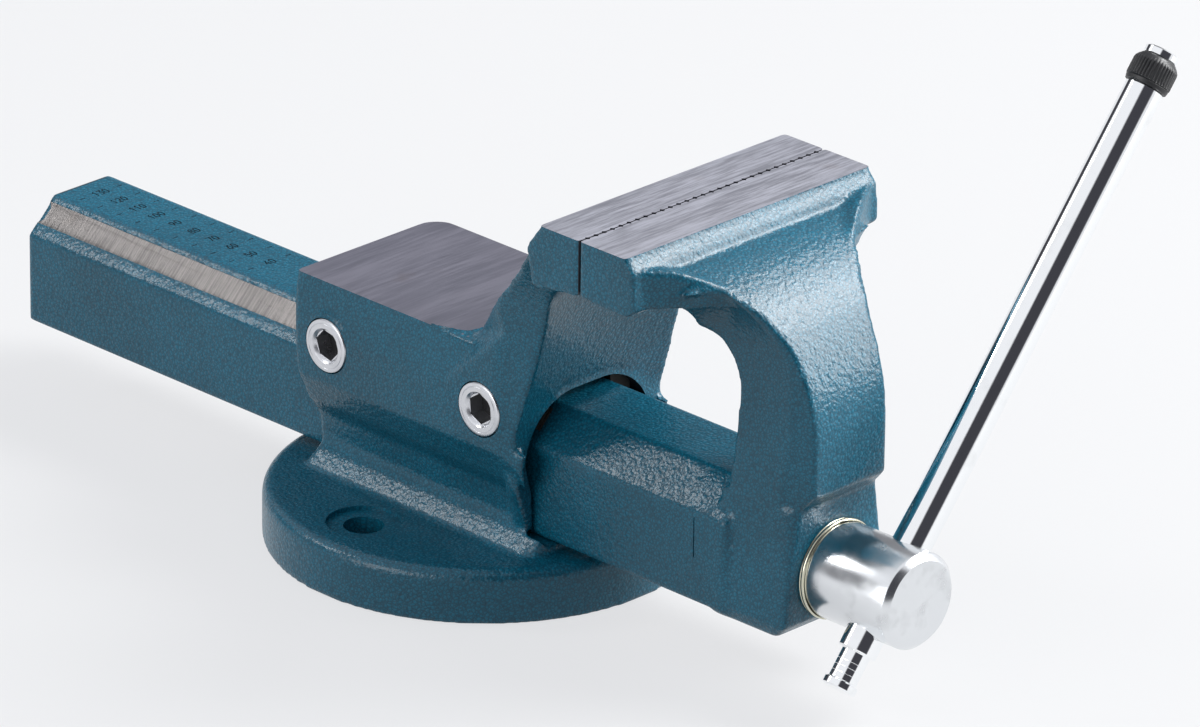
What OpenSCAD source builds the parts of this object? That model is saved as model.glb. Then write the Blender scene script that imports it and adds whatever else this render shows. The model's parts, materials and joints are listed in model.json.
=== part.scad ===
// Forged bench vise on a round base.
// Axes: X across the jaws, -Y towards the handle, +Z up.
// Origin: centre of the base underside.  Sizes in millimetres.

/* [View] */
// Sub-part to draw, or "all"

/* [Jaws] */
// Width of both jaws
jaw_w = 120; // [80:1:200]
// Height of the ground jaw tops above the bench
jaw_top_z = 161.5; // [120:0.5:220]
// Where the closed jaws meet, forward of the base centre
jaw_line = 106; // [80:0.5:140]
// Gap left between the closed jaws
jaw_gap = 0.6; // [0.1:0.1:2]
// Depth of the rear jaw top, front to back
rear_jaw_d = 18.5; // [12:0.5:30]
// Depth of the moving jaw top, front to back
front_jaw_d = 21; // [12:0.5:30]
// Height of the jaw blocks at their ends
jaw_h = 21.5; // [15:0.5:35]
// Bevel on the outer edge of the moving jaw
jaw_lip = 4.5; // [1:0.5:8]
// Spacing of the grip grooves
groove_pitch = 4; // [2:0.5:8]
// Depth of the grip grooves
groove_d = 0.8; // [0.4:0.1:1.5]

/* [Moving arm] */
// Radius of the outer curve of the arm
arm_r = 62.5; // [40:0.5:90]
// Distance of the curve's axis forward of the base centre
arm_axis_y = 115.5; // [90:0.5:140]
// Height of the curve's axis
arm_axis_z = 94; // [70:0.5:120]
// Width of the arm at its waist
arm_w = 40; // [28:0.5:60]
// Width left on the rounded front edge of the arm
arm_nose_w = 35; // [24:0.5:56]
// Depth of the tapered band behind the front edge
arm_nose_d = 11; // [4:0.5:20]
// Radius of the throat curve
throat_r = 20; // [10:0.5:40]
// Distance of the throat curve's axis forward of the base centre
throat_axis_y = 124; // [100:0.5:150]
// Height of the throat curve's axis
throat_axis_z = 106; // [90:0.5:120]
// Radius that spreads the arm out to the jaw
flare_r = 40; // [20:1:60]
// Radius of the fillet between the arm and the jaw's underside
web_r = 28; // [12:1:32]
// Height where the arm starts to spread
flare_z = 118; // [100:1:130]
// Distance of the arm foot's rear face forward of the base centre
arm_foot_y = 140; // [120:0.5:160]

/* [Boss] */
// Distance of the boss front face behind the arm's front
boss_inset = 6; // [3:0.5:16]
// Height of the lower edge of the step above the boss
step_z = 69.5; // [60:0.5:80]
// Height of the step between boss and arm front
step_h = 6.5; // [3:0.5:12]
// Thickness of the boss wall that takes the thrust
boss_wall = 22; // [12:0.5:30]
// Height of the boss underside
boss_z = 22.5; // [20:0.5:30]
// Chamfer on the boss's lower front edge
boss_chamfer = 5; // [1:0.5:10]

/* [Slide] */
// Width of the slide
slide_w = 52; // [36:0.5:80]
// Height of the slide's flat top above the bench
slide_top_z = 70.5; // [60:0.5:90]
// Height of the slide's underside above the bench
slide_bottom_z = 24; // [22:0.5:40]
// Width and height of the top chamfers
slide_chamfer = 12.5; // [6:0.5:20]
// Length of the slide behind the arm's foot
slide_l = 351; // [280:1:420]
// Width of the channel underneath
channel_w = 34; // [28:0.5:44]
// Height of the channel roof above the bench
channel_z = 60; // [56:0.5:64]
// Width of the milled guide strip on each chamfer
strip_w = 9.2; // [5:0.1:14]
// Depth of the milled guide strip
strip_d = 0.4; // [0.1:0.1:1]

/* [Body] */
// Height of the anvil face
anvil_z = 93; // [80:0.5:120]
// Width of the anvil face
anvil_w = 69; // [50:0.5:100]
// Length of the body behind the gibs
body_end = 7.5; // [4:0.5:20]
// Distance of the anvil's front end forward of the base centre
anvil_front_y = 26; // [0:0.5:40]
// Greatest width of the body
body_w = 76; // [60:0.5:110]
// Width of the body at its waist, above the foot
waist_w = 60; // [58:0.5:90]
// Radius of the curve below the rear jaw, at the jaw's ends
front_r = 15.5; // [10:0.5:30]
// Distance of that curve's axis forward of the base centre
front_axis_y = 91; // [70:0.5:100]
// Height of that curve's axis
front_axis_z = 112; // [95:0.5:120]
// Backward lean of the front face below the curve
front_lean = 17.5; // [0:0.5:25]
// Depth of the hollow across the front face, over the jaw's width
front_hollow = 11; // [2:0.5:14]
// Distance of the front face forward of the base centre at slide height
front_y = 53.5; // [45:0.5:70]
// Slope behind the rear jaw, mm back per mm of height
neck_slope = 0.9; // [0.6:0.05:1.6]
// Radius where the anvil meets the slope
anvil_fillet = 12; // [4:1:24]
// Radius that spreads the neck out to the rear jaw
neck_flare_r = 90; // [60:1:140]
// Height where the neck starts to spread
neck_flare_z = 90; // [80:1:100]
// Depth of the mouth around the slide
mouth_depth = 6; // [2:0.5:20]
// Margin between the mouth and the slide
mouth_gap = 8; // [3:0.5:8.5]
// Width of the front corners' chamfer
corner_w = 3; // [1:0.5:10]

/* [Base] */
// Diameter of the round base
base_d = 157; // [120:1:220]
// Thickness of the round base
base_h = 20; // [12:0.5:30]
// Radius on the upper edge of the base
base_edge_r = 4; // [1:0.5:8]
// Width of the foot on the base
foot_w = 73; // [60:0.5:100]
// Height of the foot's upper edge
foot_z = 26.5; // [24:0.5:34]
// Distance between the two bolt holes
bolt_span = 110; // [80:1:160]
// Offset of the bolt holes behind the base centre
bolt_y = 4; // [-10:0.5:10]
// Diameter of the bolt holes
bolt_d = 14.5; // [8:0.5:20]
// Diameter of the spot face around each bolt hole
spot_d = 27; // [18:0.5:36]
// Depth of the spot face
spot_h = 1.5; // [0.5:0.1:4]

/* [Spindle] */
// Height of the spindle axis above the bench
spindle_z = 43; // [36:0.5:50]
// Diameter of the spindle thread
thread_d = 24; // [16:0.5:30]
// Lead of the spindle thread
thread_lead = 5; // [3:0.5:8]
// Diameter of the journal in the boss
journal_d = 26; // [18:0.5:32]
// Diameter of the spindle head
head_d = 35; // [28:0.5:50]
// Length of the spindle head
head_l = 38; // [25:0.5:60]
// Chamfer on the front of the head
head_chamfer = 2; // [0.5:0.5:5]
// Distance of the spindle's rear end inside the slide's tail
spindle_inset = 39; // [10:1:80]
// Diameter of the collar's flange
collar_d = 36.6; // [30:0.1:50]
// Thickness of the collar's flange
collar_h = 2; // [1:0.1:5]
// Diameter of the collar's sleeve in the boss
sleeve_d = 31; // [28:0.5:40]
// Length of the collar's sleeve
sleeve_l = 14; // [6:0.5:20]
// Outer diameter of the thrust washer
washer_d = 33; // [28:0.5:34]
// Thickness of the thrust washer
washer_h = 3; // [1:0.5:5]
// Thickness of the retaining ring
ring_h = 2; // [1:0.1:4]
// Outer diameter of the retaining ring
ring_d = 31; // [26:0.5:34]
// Diameter of the groove the retaining ring sits in
ring_groove_d = 23; // [18:0.5:28]
// Diameter of the stop washer at the spindle's rear end
end_washer_d = 30; // [25:0.5:33]
// Thickness of the stop washer
end_washer_h = 3; // [1:0.5:6]
// Diameter of the pin behind the stop washer
end_pin_d = 4; // [2:0.5:6]

/* [Nut] */
// Width of the spindle nut block
nut_w = 30; // [24:0.5:36]
// Length of the spindle nut block
nut_l = 46; // [30:1:80]
// Height of the nut block's top above the bench
nut_top_z = 57.5; // [54:0.5:60]
// Position of the nut's middle behind the base centre
nut_y = 2; // [-20:1:20]
// Diameter of the locating spigot under the nut
spigot_d = 22; // [14:0.5:30]
// Length of the locating spigot
spigot_l = 9; // [4:0.5:14]
// Diameter of the nut's fixing screws
nut_screw_d = 8; // [5:1:12]
// Distance between the fixing screws
nut_screw_span = 34; // [28:1:60]

/* [Gibs] */
// Distance across the backs of the two gibs
gib_back_w = 51; // [46:0.5:60]
// Height of the gib's top above the bench
gib_top_z = 71.5; // [70:0.5:80]
// Length of each gib
gib_l = 99; // [60:1:120]
// Distance from the adjusting screws to the gib's ends
gib_end = 11; // [11:0.5:20]
// Diameter of the adjusting screws
adjuster_d = 20; // [12:0.5:24]
// Height of the adjusting screws above the bench
adjuster_z = 70.5; // [60:0.5:80]
// Position of the front adjusting screws forward of the base centre
adjuster_front_y = 36; // [10:0.5:50]
// Hexagon socket across flats
socket_af = 10; // [5:0.5:12]
// Depth of the hexagon socket
socket_depth = 7; // [3:0.5:10]
// Amount the screws stand proud of the side
adjuster_proud = 0.5; // [0:0.1:2]

/* [Tommy bar] */
// Diameter of the bar
bar_d = 14; // [8:0.5:20]
// Distance from the upper end of the bar to the spindle axis
bar_up = 208.5; // [80:0.5:240]
// Distance from the lower end of the bar to the spindle axis
bar_down = 38.3; // [25:0.5:100]
// Lean of the bar from upright
bar_lean = 39.25; // [0:0.25:90]
// Distance of the bar behind the head's front face
bar_setback = 15; // [10:0.5:30]
// Diameter of the groove for the end ring
bar_groove_d = 10.5; // [6:0.5:14]
// Length of the groove for the end ring
bar_groove_l = 11; // [4:0.5:20]
// Diameter of the bar's end flanges
bar_flange_d = 12.5; // [8:0.5:14]
// Thickness of the bar's end flanges
bar_flange_h = 3; // [1:0.5:6]
// Outer diameter of the rubber end ring
end_ring_d = 16.5; // [14.5:0.5:24]
// Section diameter of the grip ring inside the head
grip_d = 2.5; // [1.5:0.1:4]

/* [Clearances] */
// Radial clearance of turning and sliding round parts
run_gap = 0.05; // [0.01:0.01:0.1]
// Radial clearance of parts fixed in each other
fit_gap = 0.02; // [0.01:0.01:0.1]
// Clearance between the slide and its bore
slide_gap = 0.35; // [0.1:0.05:1]
// Clearance between the slide's strips and the gibs
gib_gap = 0.05; // [0.02:0.01:0.3]
// Clearance around the gibs in their pockets
gib_clear = 0.3; // [0.1:0.05:0.8]

/* [Hidden] */

$fn = 96;
eps = 0.01;

// Half size of the cutting blocks
reach = 250;
// Bevels behind the neck: turn, tilt and a point of each plane
high_bevel = [16.5, 13.9, body_w / 2 - 1.4, -39.1, anvil_z + 14.6];
low_bevel = [32.3, -30.3, body_w / 2, -23, anvil_z - 13];

paint = [0.13, 0.33, 0.42];
steel = [0.75, 0.76, 0.78];
zinc = [0.82, 0.80, 0.70];
dark_steel = [0.35, 0.36, 0.38];
brass = [0.78, 0.63, 0.32];
rubber = [0.08, 0.08, 0.09];

jaw_x = jaw_w / 2;
jaw_under_z = jaw_top_z - jaw_h;
boss_face_y = arm_axis_y + arm_r - boss_inset;
slide_x = slide_w / 2;
floor_z = slide_bottom_z - slide_gap;
slide_tail_y = slide_l - arm_foot_y;
spindle_tail_y = slide_tail_y - spindle_inset;
body_x = body_w / 2;
waist_x = waist_w / 2;
spindle_face_y = boss_face_y + collar_h;
head_front_y = spindle_face_y + head_l;
bar_y = head_front_y - bar_setback;
wall_back_y = boss_face_y - boss_wall;
end_washer_y = spindle_tail_y - end_pin_d - 3;
adjuster_face_x = body_x + adjuster_proud;
gib_back_x = gib_back_w / 2;
// Middle of each guide strip
strip_x = slide_x - slide_chamfer + slide_chamfer * 0.42;
strip_z = slide_top_z - (strip_x - (slide_x - slide_chamfer));
strip_half = (strip_w - 0.8) / 2 / sqrt(2);
gib_y0 = -adjuster_front_y - gib_end;
adjuster_rear_y = gib_y0 + gib_l - gib_end;
body_rear_y = gib_y0 + gib_l + body_end;
// Height of the gib's slanted face above the unmilled chamfer
gib_lift = (gib_gap - strip_d) * sqrt(2);
// Toe of the gib's slanted face, and the gib's underside beyond it
gib_toe_x = strip_x + strip_half - 0.2;
gib_low_z = slide_top_z + slide_x - slide_chamfer - gib_toe_x + gib_clear;
neck_top_z = jaw_top_z - 10.5;
neck_low_z = anvil_z - 19;
// Front corners: where they start to turn in, and by how much
corner_y = 41;
corner_turn = atan(corner_w / 22.5);

// Outline helpers
function mirrored(p) = concat(p, [for (i = [len(p) - 1 : -1 : 0]) [-p[i][0], p[i][1]]]);

// Outline in X and Z drawn out along Y
module along_y(points, y0, y1) {
    translate([0, y1, 0]) rotate([90, 0, 0]) linear_extrude(height = y1 - y0) polygon(points);
}

// Outline in Y and Z drawn out along X, both ways from the middle
module along_x(half) {
    rotate([90, 0, 90]) linear_extrude(height = 2 * half, center = true) children();
}

// Round bar or bore along Y
module rod_y(d, y0, y1) {
    translate([0, y1, spindle_z]) rotate([90, 0, 0]) cylinder(d = d, h = y1 - y0);
}

// Slide outline grown by g, without channel
function slide_outline(g) = let (c = g * (sqrt(2) - 1)) mirrored([
    [slide_x - slide_chamfer + c, slide_top_z + g],
    [slide_x + g, slide_top_z - slide_chamfer + c],
    [slide_x + g, slide_bottom_z - g]]);

// Strip-side outline of one gib or its pocket
function gib_outline(g) = [
    [gib_back_x - 3, gib_top_z + g],
    [strip_x - strip_half - g, gib_top_z + g],
    [strip_x - strip_half - g, strip_z + strip_half + gib_lift],
    [gib_toe_x, strip_z + strip_x - gib_toe_x + gib_lift],
    [gib_toe_x, gib_low_z - g],
    [gib_back_x + g, gib_low_z - g],
    [gib_back_x + g, gib_top_z - 3]];

// V grooves across a jaw face that looks along Y
module grip_grooves(y) {
    n = floor((jaw_w - 6) / groove_pitch / 2);
    for (i = [-n : n])
        translate([i * groove_pitch, y, jaw_under_z + 4]) rotate([0, 0, 45])
            translate([-groove_d / sqrt(2), -groove_d / sqrt(2), 0])
                cube([groove_d * sqrt(2), groove_d * sqrt(2), jaw_h]);
}

// ---- Fixed body with base, anvil and rear jaw ----

// Side view of the neck: anvil fillet, slope, jaw back and underside
module neck_side() {
    a = 90 - atan(neck_slope);
    t = anvil_fillet * tan(a / 2);
    y = -anvil_front_y;
    top_y = y - (neck_top_z - anvil_z) * neck_slope;
    difference() {
        polygon([[y + t, neck_low_z], [y + t, anvil_z], [y - t * cos(a), anvil_z + t * sin(a)],
            [top_y, neck_top_z], [-jaw_line + 3, neck_top_z], [-jaw_line + 3, front_axis_z + 5],
            [-front_axis_y + front_r - 3, front_axis_z + 4], [-front_y - 8, neck_low_z]]);
        translate([y + t, anvil_z + anvil_fillet]) circle(r = anvil_fillet);
    }
}

// Front view of body and neck: foot, waist, upright sides, spread to the jaw
module body_sides() {
    difference() {
        polygon(mirrored([[jaw_x - 1, jaw_top_z], [jaw_x - 1, neck_flare_z], [body_x, neck_flare_z], [body_x, 56],
            [body_x - 3.5, 46], [waist_x + 0.5, 40], [waist_x - 0.5, 31], [waist_x + 1, foot_z],
            [foot_w / 2, base_h], [foot_w / 2, base_h - 1]]));
        for (s = [-1, 1]) translate([s * (body_x + neck_flare_r), neck_flare_z]) circle(r = neck_flare_r, $fn = 160);
    }
}

// Outline outside the right side, down to the waist
module side_outside() {
    difference() {
        translate([0, -46]) square([neck_flare_r, 46 + 90]);
        difference() {
            square([neck_flare_r, neck_flare_r]);
            translate([neck_flare_r, 0]) circle(r = neck_flare_r, $fn = 160);
        }
    }
}

// Space on the inner side of a bevel plane, both sides of the vise
module inside_bevel(b) {
    intersection() {
        translate([b[2], b[3], b[4]]) rotate([0, 0, b[0]]) rotate([0, b[1], 0])
            translate([-reach, 0, 0]) cube(2 * reach, center = true);
        translate([-b[2], b[3], b[4]]) rotate([0, 0, -b[0]]) rotate([0, -b[1], 0])
            translate([reach, 0, 0]) cube(2 * reach, center = true);
    }
}

// Neck between anvil and rear jaw, bevelled behind
module rear_neck() {
    intersection() {
        along_x(jaw_x) neck_side();
        union() {
            inside_bevel(high_bevel);
            inside_bevel(low_bevel);
        }
    }
}

// Section of the hollow front: bulged towards the back in the middle
module front_section() {
    r = (jaw_x * jaw_x + front_hollow * front_hollow) / (2 * front_hollow);
    translate([-jaw_x - 20, -60]) square([2 * jaw_x + 40, 60]);
    intersection() {
        translate([0, front_hollow - r]) circle(r = r, $fn = 256);
        translate([-jaw_x, -1]) square([jaw_x * 2, front_hollow + 1]);
    }
}

// Hollow swept up the front face, round below the jaw and out to its face
module front_cut() {
    translate([0, -front_axis_y, front_axis_z]) {
        rotate([front_lean, 0, 0]) translate([0, 0, -62]) linear_extrude(height = 62)
            translate([0, front_r]) front_section();
        rotate([0, 90, 0]) rotate_extrude() rotate(-90) intersection() {
            translate([0, front_r]) front_section();
            translate([-jaw_x - 20, 0]) square([2 * jaw_x + 40, 100]);
        }
        rotate([-90, 0, 0]) translate([0, 0, -40]) linear_extrude(height = 40) mirror([0, 1, 0])
            translate([0, front_r]) intersection() {
                front_section();
                translate([-jaw_x - 20, -front_r]) square([2 * jaw_x + 40, 100]);
            }
    }
}

module rear_jaw() {
    y = -jaw_line + jaw_gap / 2;
    top = y + rear_jaw_d;
    along_x(jaw_x) polygon([
        [y, jaw_under_z + 0.8], [y, jaw_top_z], [top, jaw_top_z],
        [top + 6, jaw_top_z - 8], [top + 6.8, jaw_top_z - 10.5],
        [top + 4, jaw_under_z - 2]]);
}

// Anvil, guide block and foot
module body_block() {
    intersection() {
        along_y(mirrored([[anvil_w / 2, anvil_z], [body_x + 1, anvil_z - 22], [body_x + 1, base_h - 1]]), -reach, reach);
        along_x(80) polygon([
            [-front_y - 7.5, base_h - 1], [-front_y - 7.5, base_h], [-front_y - 8.5, foot_z],
            [-front_y - 6.5, 34], [-front_y - 2.5, 45], [-front_y - 1.5, 52], [-front_y - 8.5, anvil_z - 3],
            [-front_y - 8.5, anvil_z], [body_rear_y, anvil_z],
            [body_rear_y, anvil_z - 18], [body_rear_y - 4, 55], [body_rear_y - 6, 41],
            [body_rear_y - 7.5, foot_z + 1.5], [body_rear_y - 5, base_h],
            [body_rear_y - 5, base_h - 1]]);
        linear_extrude(height = reach) polygon(mirrored([[body_x + 3, -reach], [body_x + 3, body_rear_y - 6], [body_x - 3, body_rear_y]]));
    }
}

// Block and neck in one, with upright sides that turn in at the front
module body_and_neck() {
    difference() {
        intersection() {
            union() {
                body_block();
                rear_neck();
            }
            rotate([90, 0, 0]) linear_extrude(height = 2 * reach, center = true) body_sides();
        }
        for (s = [0, 1]) mirror([s, 0, 0]) translate([body_x + 0.3, -corner_y, neck_flare_z + 1])
            rotate([0, 0, -corner_turn]) rotate([90, 0, 0]) linear_extrude(height = 90) side_outside();
        front_cut();
    }
}

// Mouth outline around the slide
module mouth_outline() {
    m = slide_x + mouth_gap;
    polygon(mirrored([[slide_x - slide_chamfer, slide_top_z + mouth_gap - 0.5], [slide_x - 2, slide_top_z - 0.5],
        [m - 3, slide_top_z - 6.5], [m, slide_top_z - 14], [m, 44], [m - 1.5, 33], [m - 4, floor_z]]));
}

module base_disc() {
    r = base_d / 2;
    rotate_extrude() {
        square([r - base_edge_r, base_h]);
        square([r, base_h - base_edge_r]);
        translate([r - base_edge_r, base_h - base_edge_r]) circle(r = base_edge_r);
    }
}

module adjuster_hole(side, y) {
    translate([side * (gib_back_x - 1), y, adjuster_z]) rotate([0, side * 90, 0])
        cylinder(d = adjuster_d + 2 * fit_gap, h = 30);
    translate([side * (body_x - 0.6), y, adjuster_z]) rotate([0, side * 90, 0])
        cylinder(d = adjuster_d + 1, h = 10);
}

module fixed_body() {
    color(paint) difference() {
        union() {
            base_disc();
            body_and_neck();
            rear_jaw();
        }
        // bore for the slide
        along_y(slide_outline(slide_gap), -reach, reach);
        // mouth ahead of the bore
        translate([0, -front_y + mouth_depth, 0]) rotate([90, 0, 0]) linear_extrude(height = 60) mouth_outline();
        // gib pockets
        for (s = [0, 1]) mirror([s, 0, 0])
            along_y(gib_outline(gib_clear), -reach, gib_y0 + gib_l + gib_clear);
        for (s = [-1, 1], y = [-adjuster_front_y, adjuster_rear_y]) adjuster_hole(s, y);
        // seat of the spindle nut
        translate([0, nut_y, floor_z - spigot_l - 0.5]) cylinder(d = spigot_d + 2 * fit_gap, h = spigot_l + 5);
        for (s = [-1, 1]) translate([0, nut_y + s * nut_screw_span / 2, 0]) {
            translate([0, 0, -1]) cylinder(d = nut_screw_d + 2 * run_gap, h = 40);
            translate([0, 0, -1]) cylinder(d = nut_screw_d * 1.9, h = nut_screw_d + 5);
        }
        // bench bolt holes
        for (s = [-1, 1]) translate([s * bolt_span / 2, bolt_y, 0]) {
            translate([0, 0, -1]) cylinder(d = bolt_d, h = base_h + 2);
            translate([0, 0, base_h - spot_h]) cylinder(d = spot_d, h = 10);
            translate([0, 0, base_h - spot_h - 1]) cylinder(d1 = bolt_d, d2 = bolt_d + 2, h = 1 + eps);
        }
        grip_grooves(-jaw_line + jaw_gap / 2);
    }
}

// ---- Sliding jaw: moving jaw, arm, boss and slide in one forging ----

module arm_side() {
    arm_top = arm_axis_z + arm_r;
    nose_y = -arm_axis_y - arm_r;
    difference() {
        union() {
            intersection() {
                translate([-arm_axis_y, arm_axis_z]) circle(r = arm_r, $fn = 128);
                translate([nose_y - 1, arm_axis_z]) square([-jaw_line - jaw_gap / 2 - nose_y - 1, arm_r + 1]);
            }
            translate([nose_y, step_z + step_h]) square([-arm_foot_y - nose_y + 8, arm_axis_z - step_z - step_h]);
            polygon([[-boss_face_y, step_z], [nose_y, step_z + step_h], [-arm_foot_y + 8, step_z + step_h], [-arm_foot_y + 8, step_z]]);
        }
        translate([-throat_axis_y, throat_axis_z]) circle(r = throat_r);
        polygon([[-throat_axis_y - throat_r, throat_axis_z], [-arm_foot_y, slide_top_z - 10], [-60, slide_top_z - 10],
            [-60, jaw_under_z], [-jaw_line - 2, jaw_under_z], [-throat_axis_y, throat_axis_z + throat_r]]);
    }
}

module arm() {
    nose_y = arm_axis_y + arm_r;
    intersection() {
        along_x(jaw_x) arm_side();
        // front view: waist, spread towards the boss, spread to the jaw
        difference() {
            along_y(mirrored([[jaw_x, jaw_top_z - 3], [jaw_x, flare_z], [arm_w / 2, flare_z], [arm_w / 2, step_z + 25],
                [arm_w / 2 + 1.5, step_z], [arm_w / 2 + 1.5, step_z - 5]]), -200, -100);
            for (s = [-1, 1]) translate([s * (arm_w / 2 + flare_r), -100, flare_z]) rotate([90, 0, 0])
                cylinder(r = flare_r, h = 100, $fn = 128);
        }
        // plan: narrower towards the front edge
        linear_extrude(height = 200) polygon([
            [-arm_nose_w / 2, -nose_y - 1], [arm_nose_w / 2, -nose_y - 1], [arm_w / 2 + 0.3, -nose_y + arm_nose_d],
            [arm_w / 2 + 6, -nose_y + 21], [jaw_x, -jaw_line - front_jaw_d - 3], [jaw_x, -100],
            [-jaw_x, -100], [-jaw_x, -jaw_line - front_jaw_d - 3], [-arm_w / 2 - 6, -nose_y + 21],
            [-arm_w / 2 - 0.3, -nose_y + arm_nose_d]]);
    }
}

// Fillet between the arm's sides and the underside of the moving jaw
module jaw_web() {
    x = arm_w / 2 + web_r - 0.3;
    z = jaw_under_z - web_r;
    y = -jaw_line - jaw_gap / 2;
    intersection() {
        along_x(jaw_x) difference() {
            polygon([[y, jaw_under_z + 1], [y - front_jaw_d, jaw_under_z + 1], [y - 38, z], [y - 10, z]]);
            translate([-throat_axis_y, throat_axis_z]) circle(r = throat_r);
            polygon([[-throat_axis_y, throat_axis_z - 10], [-throat_axis_y, throat_axis_z + throat_r],
                [-jaw_line - 2, jaw_under_z], [-jaw_line + 5, jaw_under_z], [-jaw_line + 5, z - 10]]);
        }
        rotate([90, 0, 0]) linear_extrude(height = reach) difference() {
            polygon(mirrored([[x, jaw_under_z + 1], [x, z], [1, z]]));
            for (s = [-1, 1]) translate([s * x, z]) circle(r = web_r);
        }
    }
}

// One level of the boss: front face, corner chamfer and side
module boss_level(z, front_x, chamfer, side_x, back) {
    translate([0, 0, z]) linear_extrude(height = eps) polygon([
        [-front_x, -boss_face_y + back], [front_x, -boss_face_y + back], [side_x, -boss_face_y + chamfer + back],
        [side_x + 0.5, -arm_foot_y + 2], [-side_x - 0.5, -arm_foot_y + 2], [-side_x, -boss_face_y + chamfer + back]]);
}

module boss() {
    hull() {
        boss_level(step_z, arm_w / 2 - 0.8, 4.5, arm_w / 2 + 1.5, 0);
        boss_level(boss_z + boss_chamfer, slide_x - 1, 2, slide_x - 0.5, 0);
        boss_level(boss_z, slide_x - 3, 1, slide_x - 2, boss_chamfer);
    }
}

module front_jaw() {
    y = -jaw_line - jaw_gap / 2;
    top = y - front_jaw_d;
    along_x(jaw_x) polygon([
        [y, jaw_under_z + 0.8], [y, jaw_top_z], [top, jaw_top_z],
        [top - jaw_lip, jaw_top_z - jaw_lip - 0.8], [top - jaw_lip - 0.7, jaw_under_z + 3],
        [top - 1, jaw_under_z]]);
}

module sliding_jaw() {
    color(paint) difference() {
        union() {
            along_y(slide_outline(0), -arm_foot_y - 4, slide_tail_y);
            arm();
            jaw_web();
            boss();
            front_jaw();
        }
        // channel for the spindle and its nut
        along_y(mirrored([[channel_w / 2 - 5, channel_z], [channel_w / 2, channel_z - 5], [channel_w / 2, boss_z - 5]]),
            -wall_back_y, slide_tail_y + 1);
        // bore and sleeve seat in the boss
        rod_y(journal_d + 2 * run_gap, -boss_face_y - 20, -wall_back_y + 1);
        rod_y(sleeve_d + 2 * fit_gap, -boss_face_y - 20, -boss_face_y + sleeve_l);
        // milled guide strips
        for (s = [-1, 1]) translate([s * strip_x, gib_y0 - 3, strip_z]) rotate([0, s * 45, 0])
            translate([-strip_w / 2, 0, -strip_d]) cube([strip_w, slide_tail_y + 100, 5]);
        grip_grooves(-jaw_line - jaw_gap / 2);
    }
}

// ---- Spindle group ----

module spindle() {
    color(steel) difference() {
        translate([0, -head_front_y, spindle_z]) rotate([-90, 0, 0]) rotate_extrude() polygon([
            [0, 0], [head_d / 2 - head_chamfer, 0], [head_d / 2, head_chamfer], [head_d / 2, head_l - 1],
            [head_d / 2 - 1, head_l], [journal_d / 2, head_l],
            [journal_d / 2, head_l + collar_h + boss_wall + washer_h + run_gap],
            [ring_groove_d / 2, head_l + collar_h + boss_wall + washer_h + run_gap],
            [ring_groove_d / 2, head_l + collar_h + boss_wall + washer_h + ring_h + 3 * run_gap],
            [journal_d / 2, head_l + collar_h + boss_wall + washer_h + ring_h + 3 * run_gap],
            [journal_d / 2, head_l + collar_h + boss_wall + 9],
            [thread_d / 2, head_l + collar_h + boss_wall + 11],
            [thread_d / 2, head_front_y + end_washer_y - end_washer_h - 0.05],
            [thread_d / 2 - 3, head_front_y + end_washer_y - end_washer_h - 0.05],
            [thread_d / 2 - 3, head_front_y + spindle_tail_y - 1],
            [thread_d / 2 - 4, head_front_y + spindle_tail_y],
            [0, head_front_y + spindle_tail_y]]);
        along_bar() {
            translate([0, 0, -40]) cylinder(d = bar_d + 2 * run_gap, h = 80);
            rotate_extrude() translate([bar_d / 2 + grip_d / 2 - 0.1, 0]) circle(d = grip_d + 0.1, $fn = 32);
        }
        translate([0, end_washer_y + end_pin_d / 2 + 0.05, spindle_z])
            cylinder(d = end_pin_d + 2 * fit_gap, h = thread_d + 10, center = true);
    }
}

// Stop at the rear end of the spindle
module end_washer() {
    color(steel) difference() {
        rod_y(end_washer_d, end_washer_y - end_washer_h, end_washer_y);
        rod_y(thread_d - 6 + 2 * fit_gap, end_washer_y - 10, end_washer_y + 10);
    }
}

module end_pin() {
    color(dark_steel) translate([0, end_washer_y + end_pin_d / 2 + 0.05, spindle_z])
        cylinder(d = end_pin_d, h = thread_d + 3, center = true);
}

module spindle_collar() {
    color(zinc) translate([0, -boss_face_y, spindle_z]) rotate([90, 0, 0]) difference() {
        union() {
            cylinder(d = collar_d, h = collar_h - run_gap);
            translate([0, 0, -sleeve_l + 0.2]) cylinder(d = sleeve_d, h = sleeve_l);
        }
        translate([0, 0, -50]) cylinder(d = journal_d + 2 * run_gap, h = 100);
    }
}

module thrust_washer() {
    color(steel) translate([0, -wall_back_y + washer_h, spindle_z]) rotate([90, 0, 0]) difference() {
        cylinder(d = washer_d, h = washer_h);
        translate([0, 0, -1]) cylinder(d = journal_d + 2 * run_gap, h = washer_h + 2);
    }
}

module retaining_ring() {
    color(dark_steel) translate([0, -wall_back_y + washer_h + run_gap * 2 + ring_h, spindle_z]) rotate([90, 0, 0]) difference() {
        cylinder(d = ring_d, h = ring_h);
        translate([0, 0, -1]) cylinder(d = ring_groove_d + 2 * fit_gap, h = ring_h + 2);
        translate([-ring_groove_d * 0.36, -ring_d, -1]) cube([ring_groove_d * 0.72, ring_d, ring_h + 2]);
    }
}

module spindle_nut() {
    r = thread_d / 2 + run_gap;
    color(brass) difference() {
        union() {
            along_y(mirrored([[nut_w / 2 - 5, nut_top_z], [nut_w / 2, nut_top_z - 5], [nut_w / 2, floor_z]]),
                nut_y - nut_l / 2, nut_y + nut_l / 2);
            translate([0, nut_y, floor_z - spigot_l]) cylinder(d = spigot_d, h = spigot_l + 1);
        }
        rod_y(thread_d + 2 * run_gap, nut_y - nut_l, nut_y + nut_l);
        for (s = [-1, 1]) translate([0, nut_y + s * nut_screw_span / 2, floor_z - 1])
            cylinder(d = nut_screw_d + 2 * fit_gap, h = 7.5);
    }
}

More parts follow.
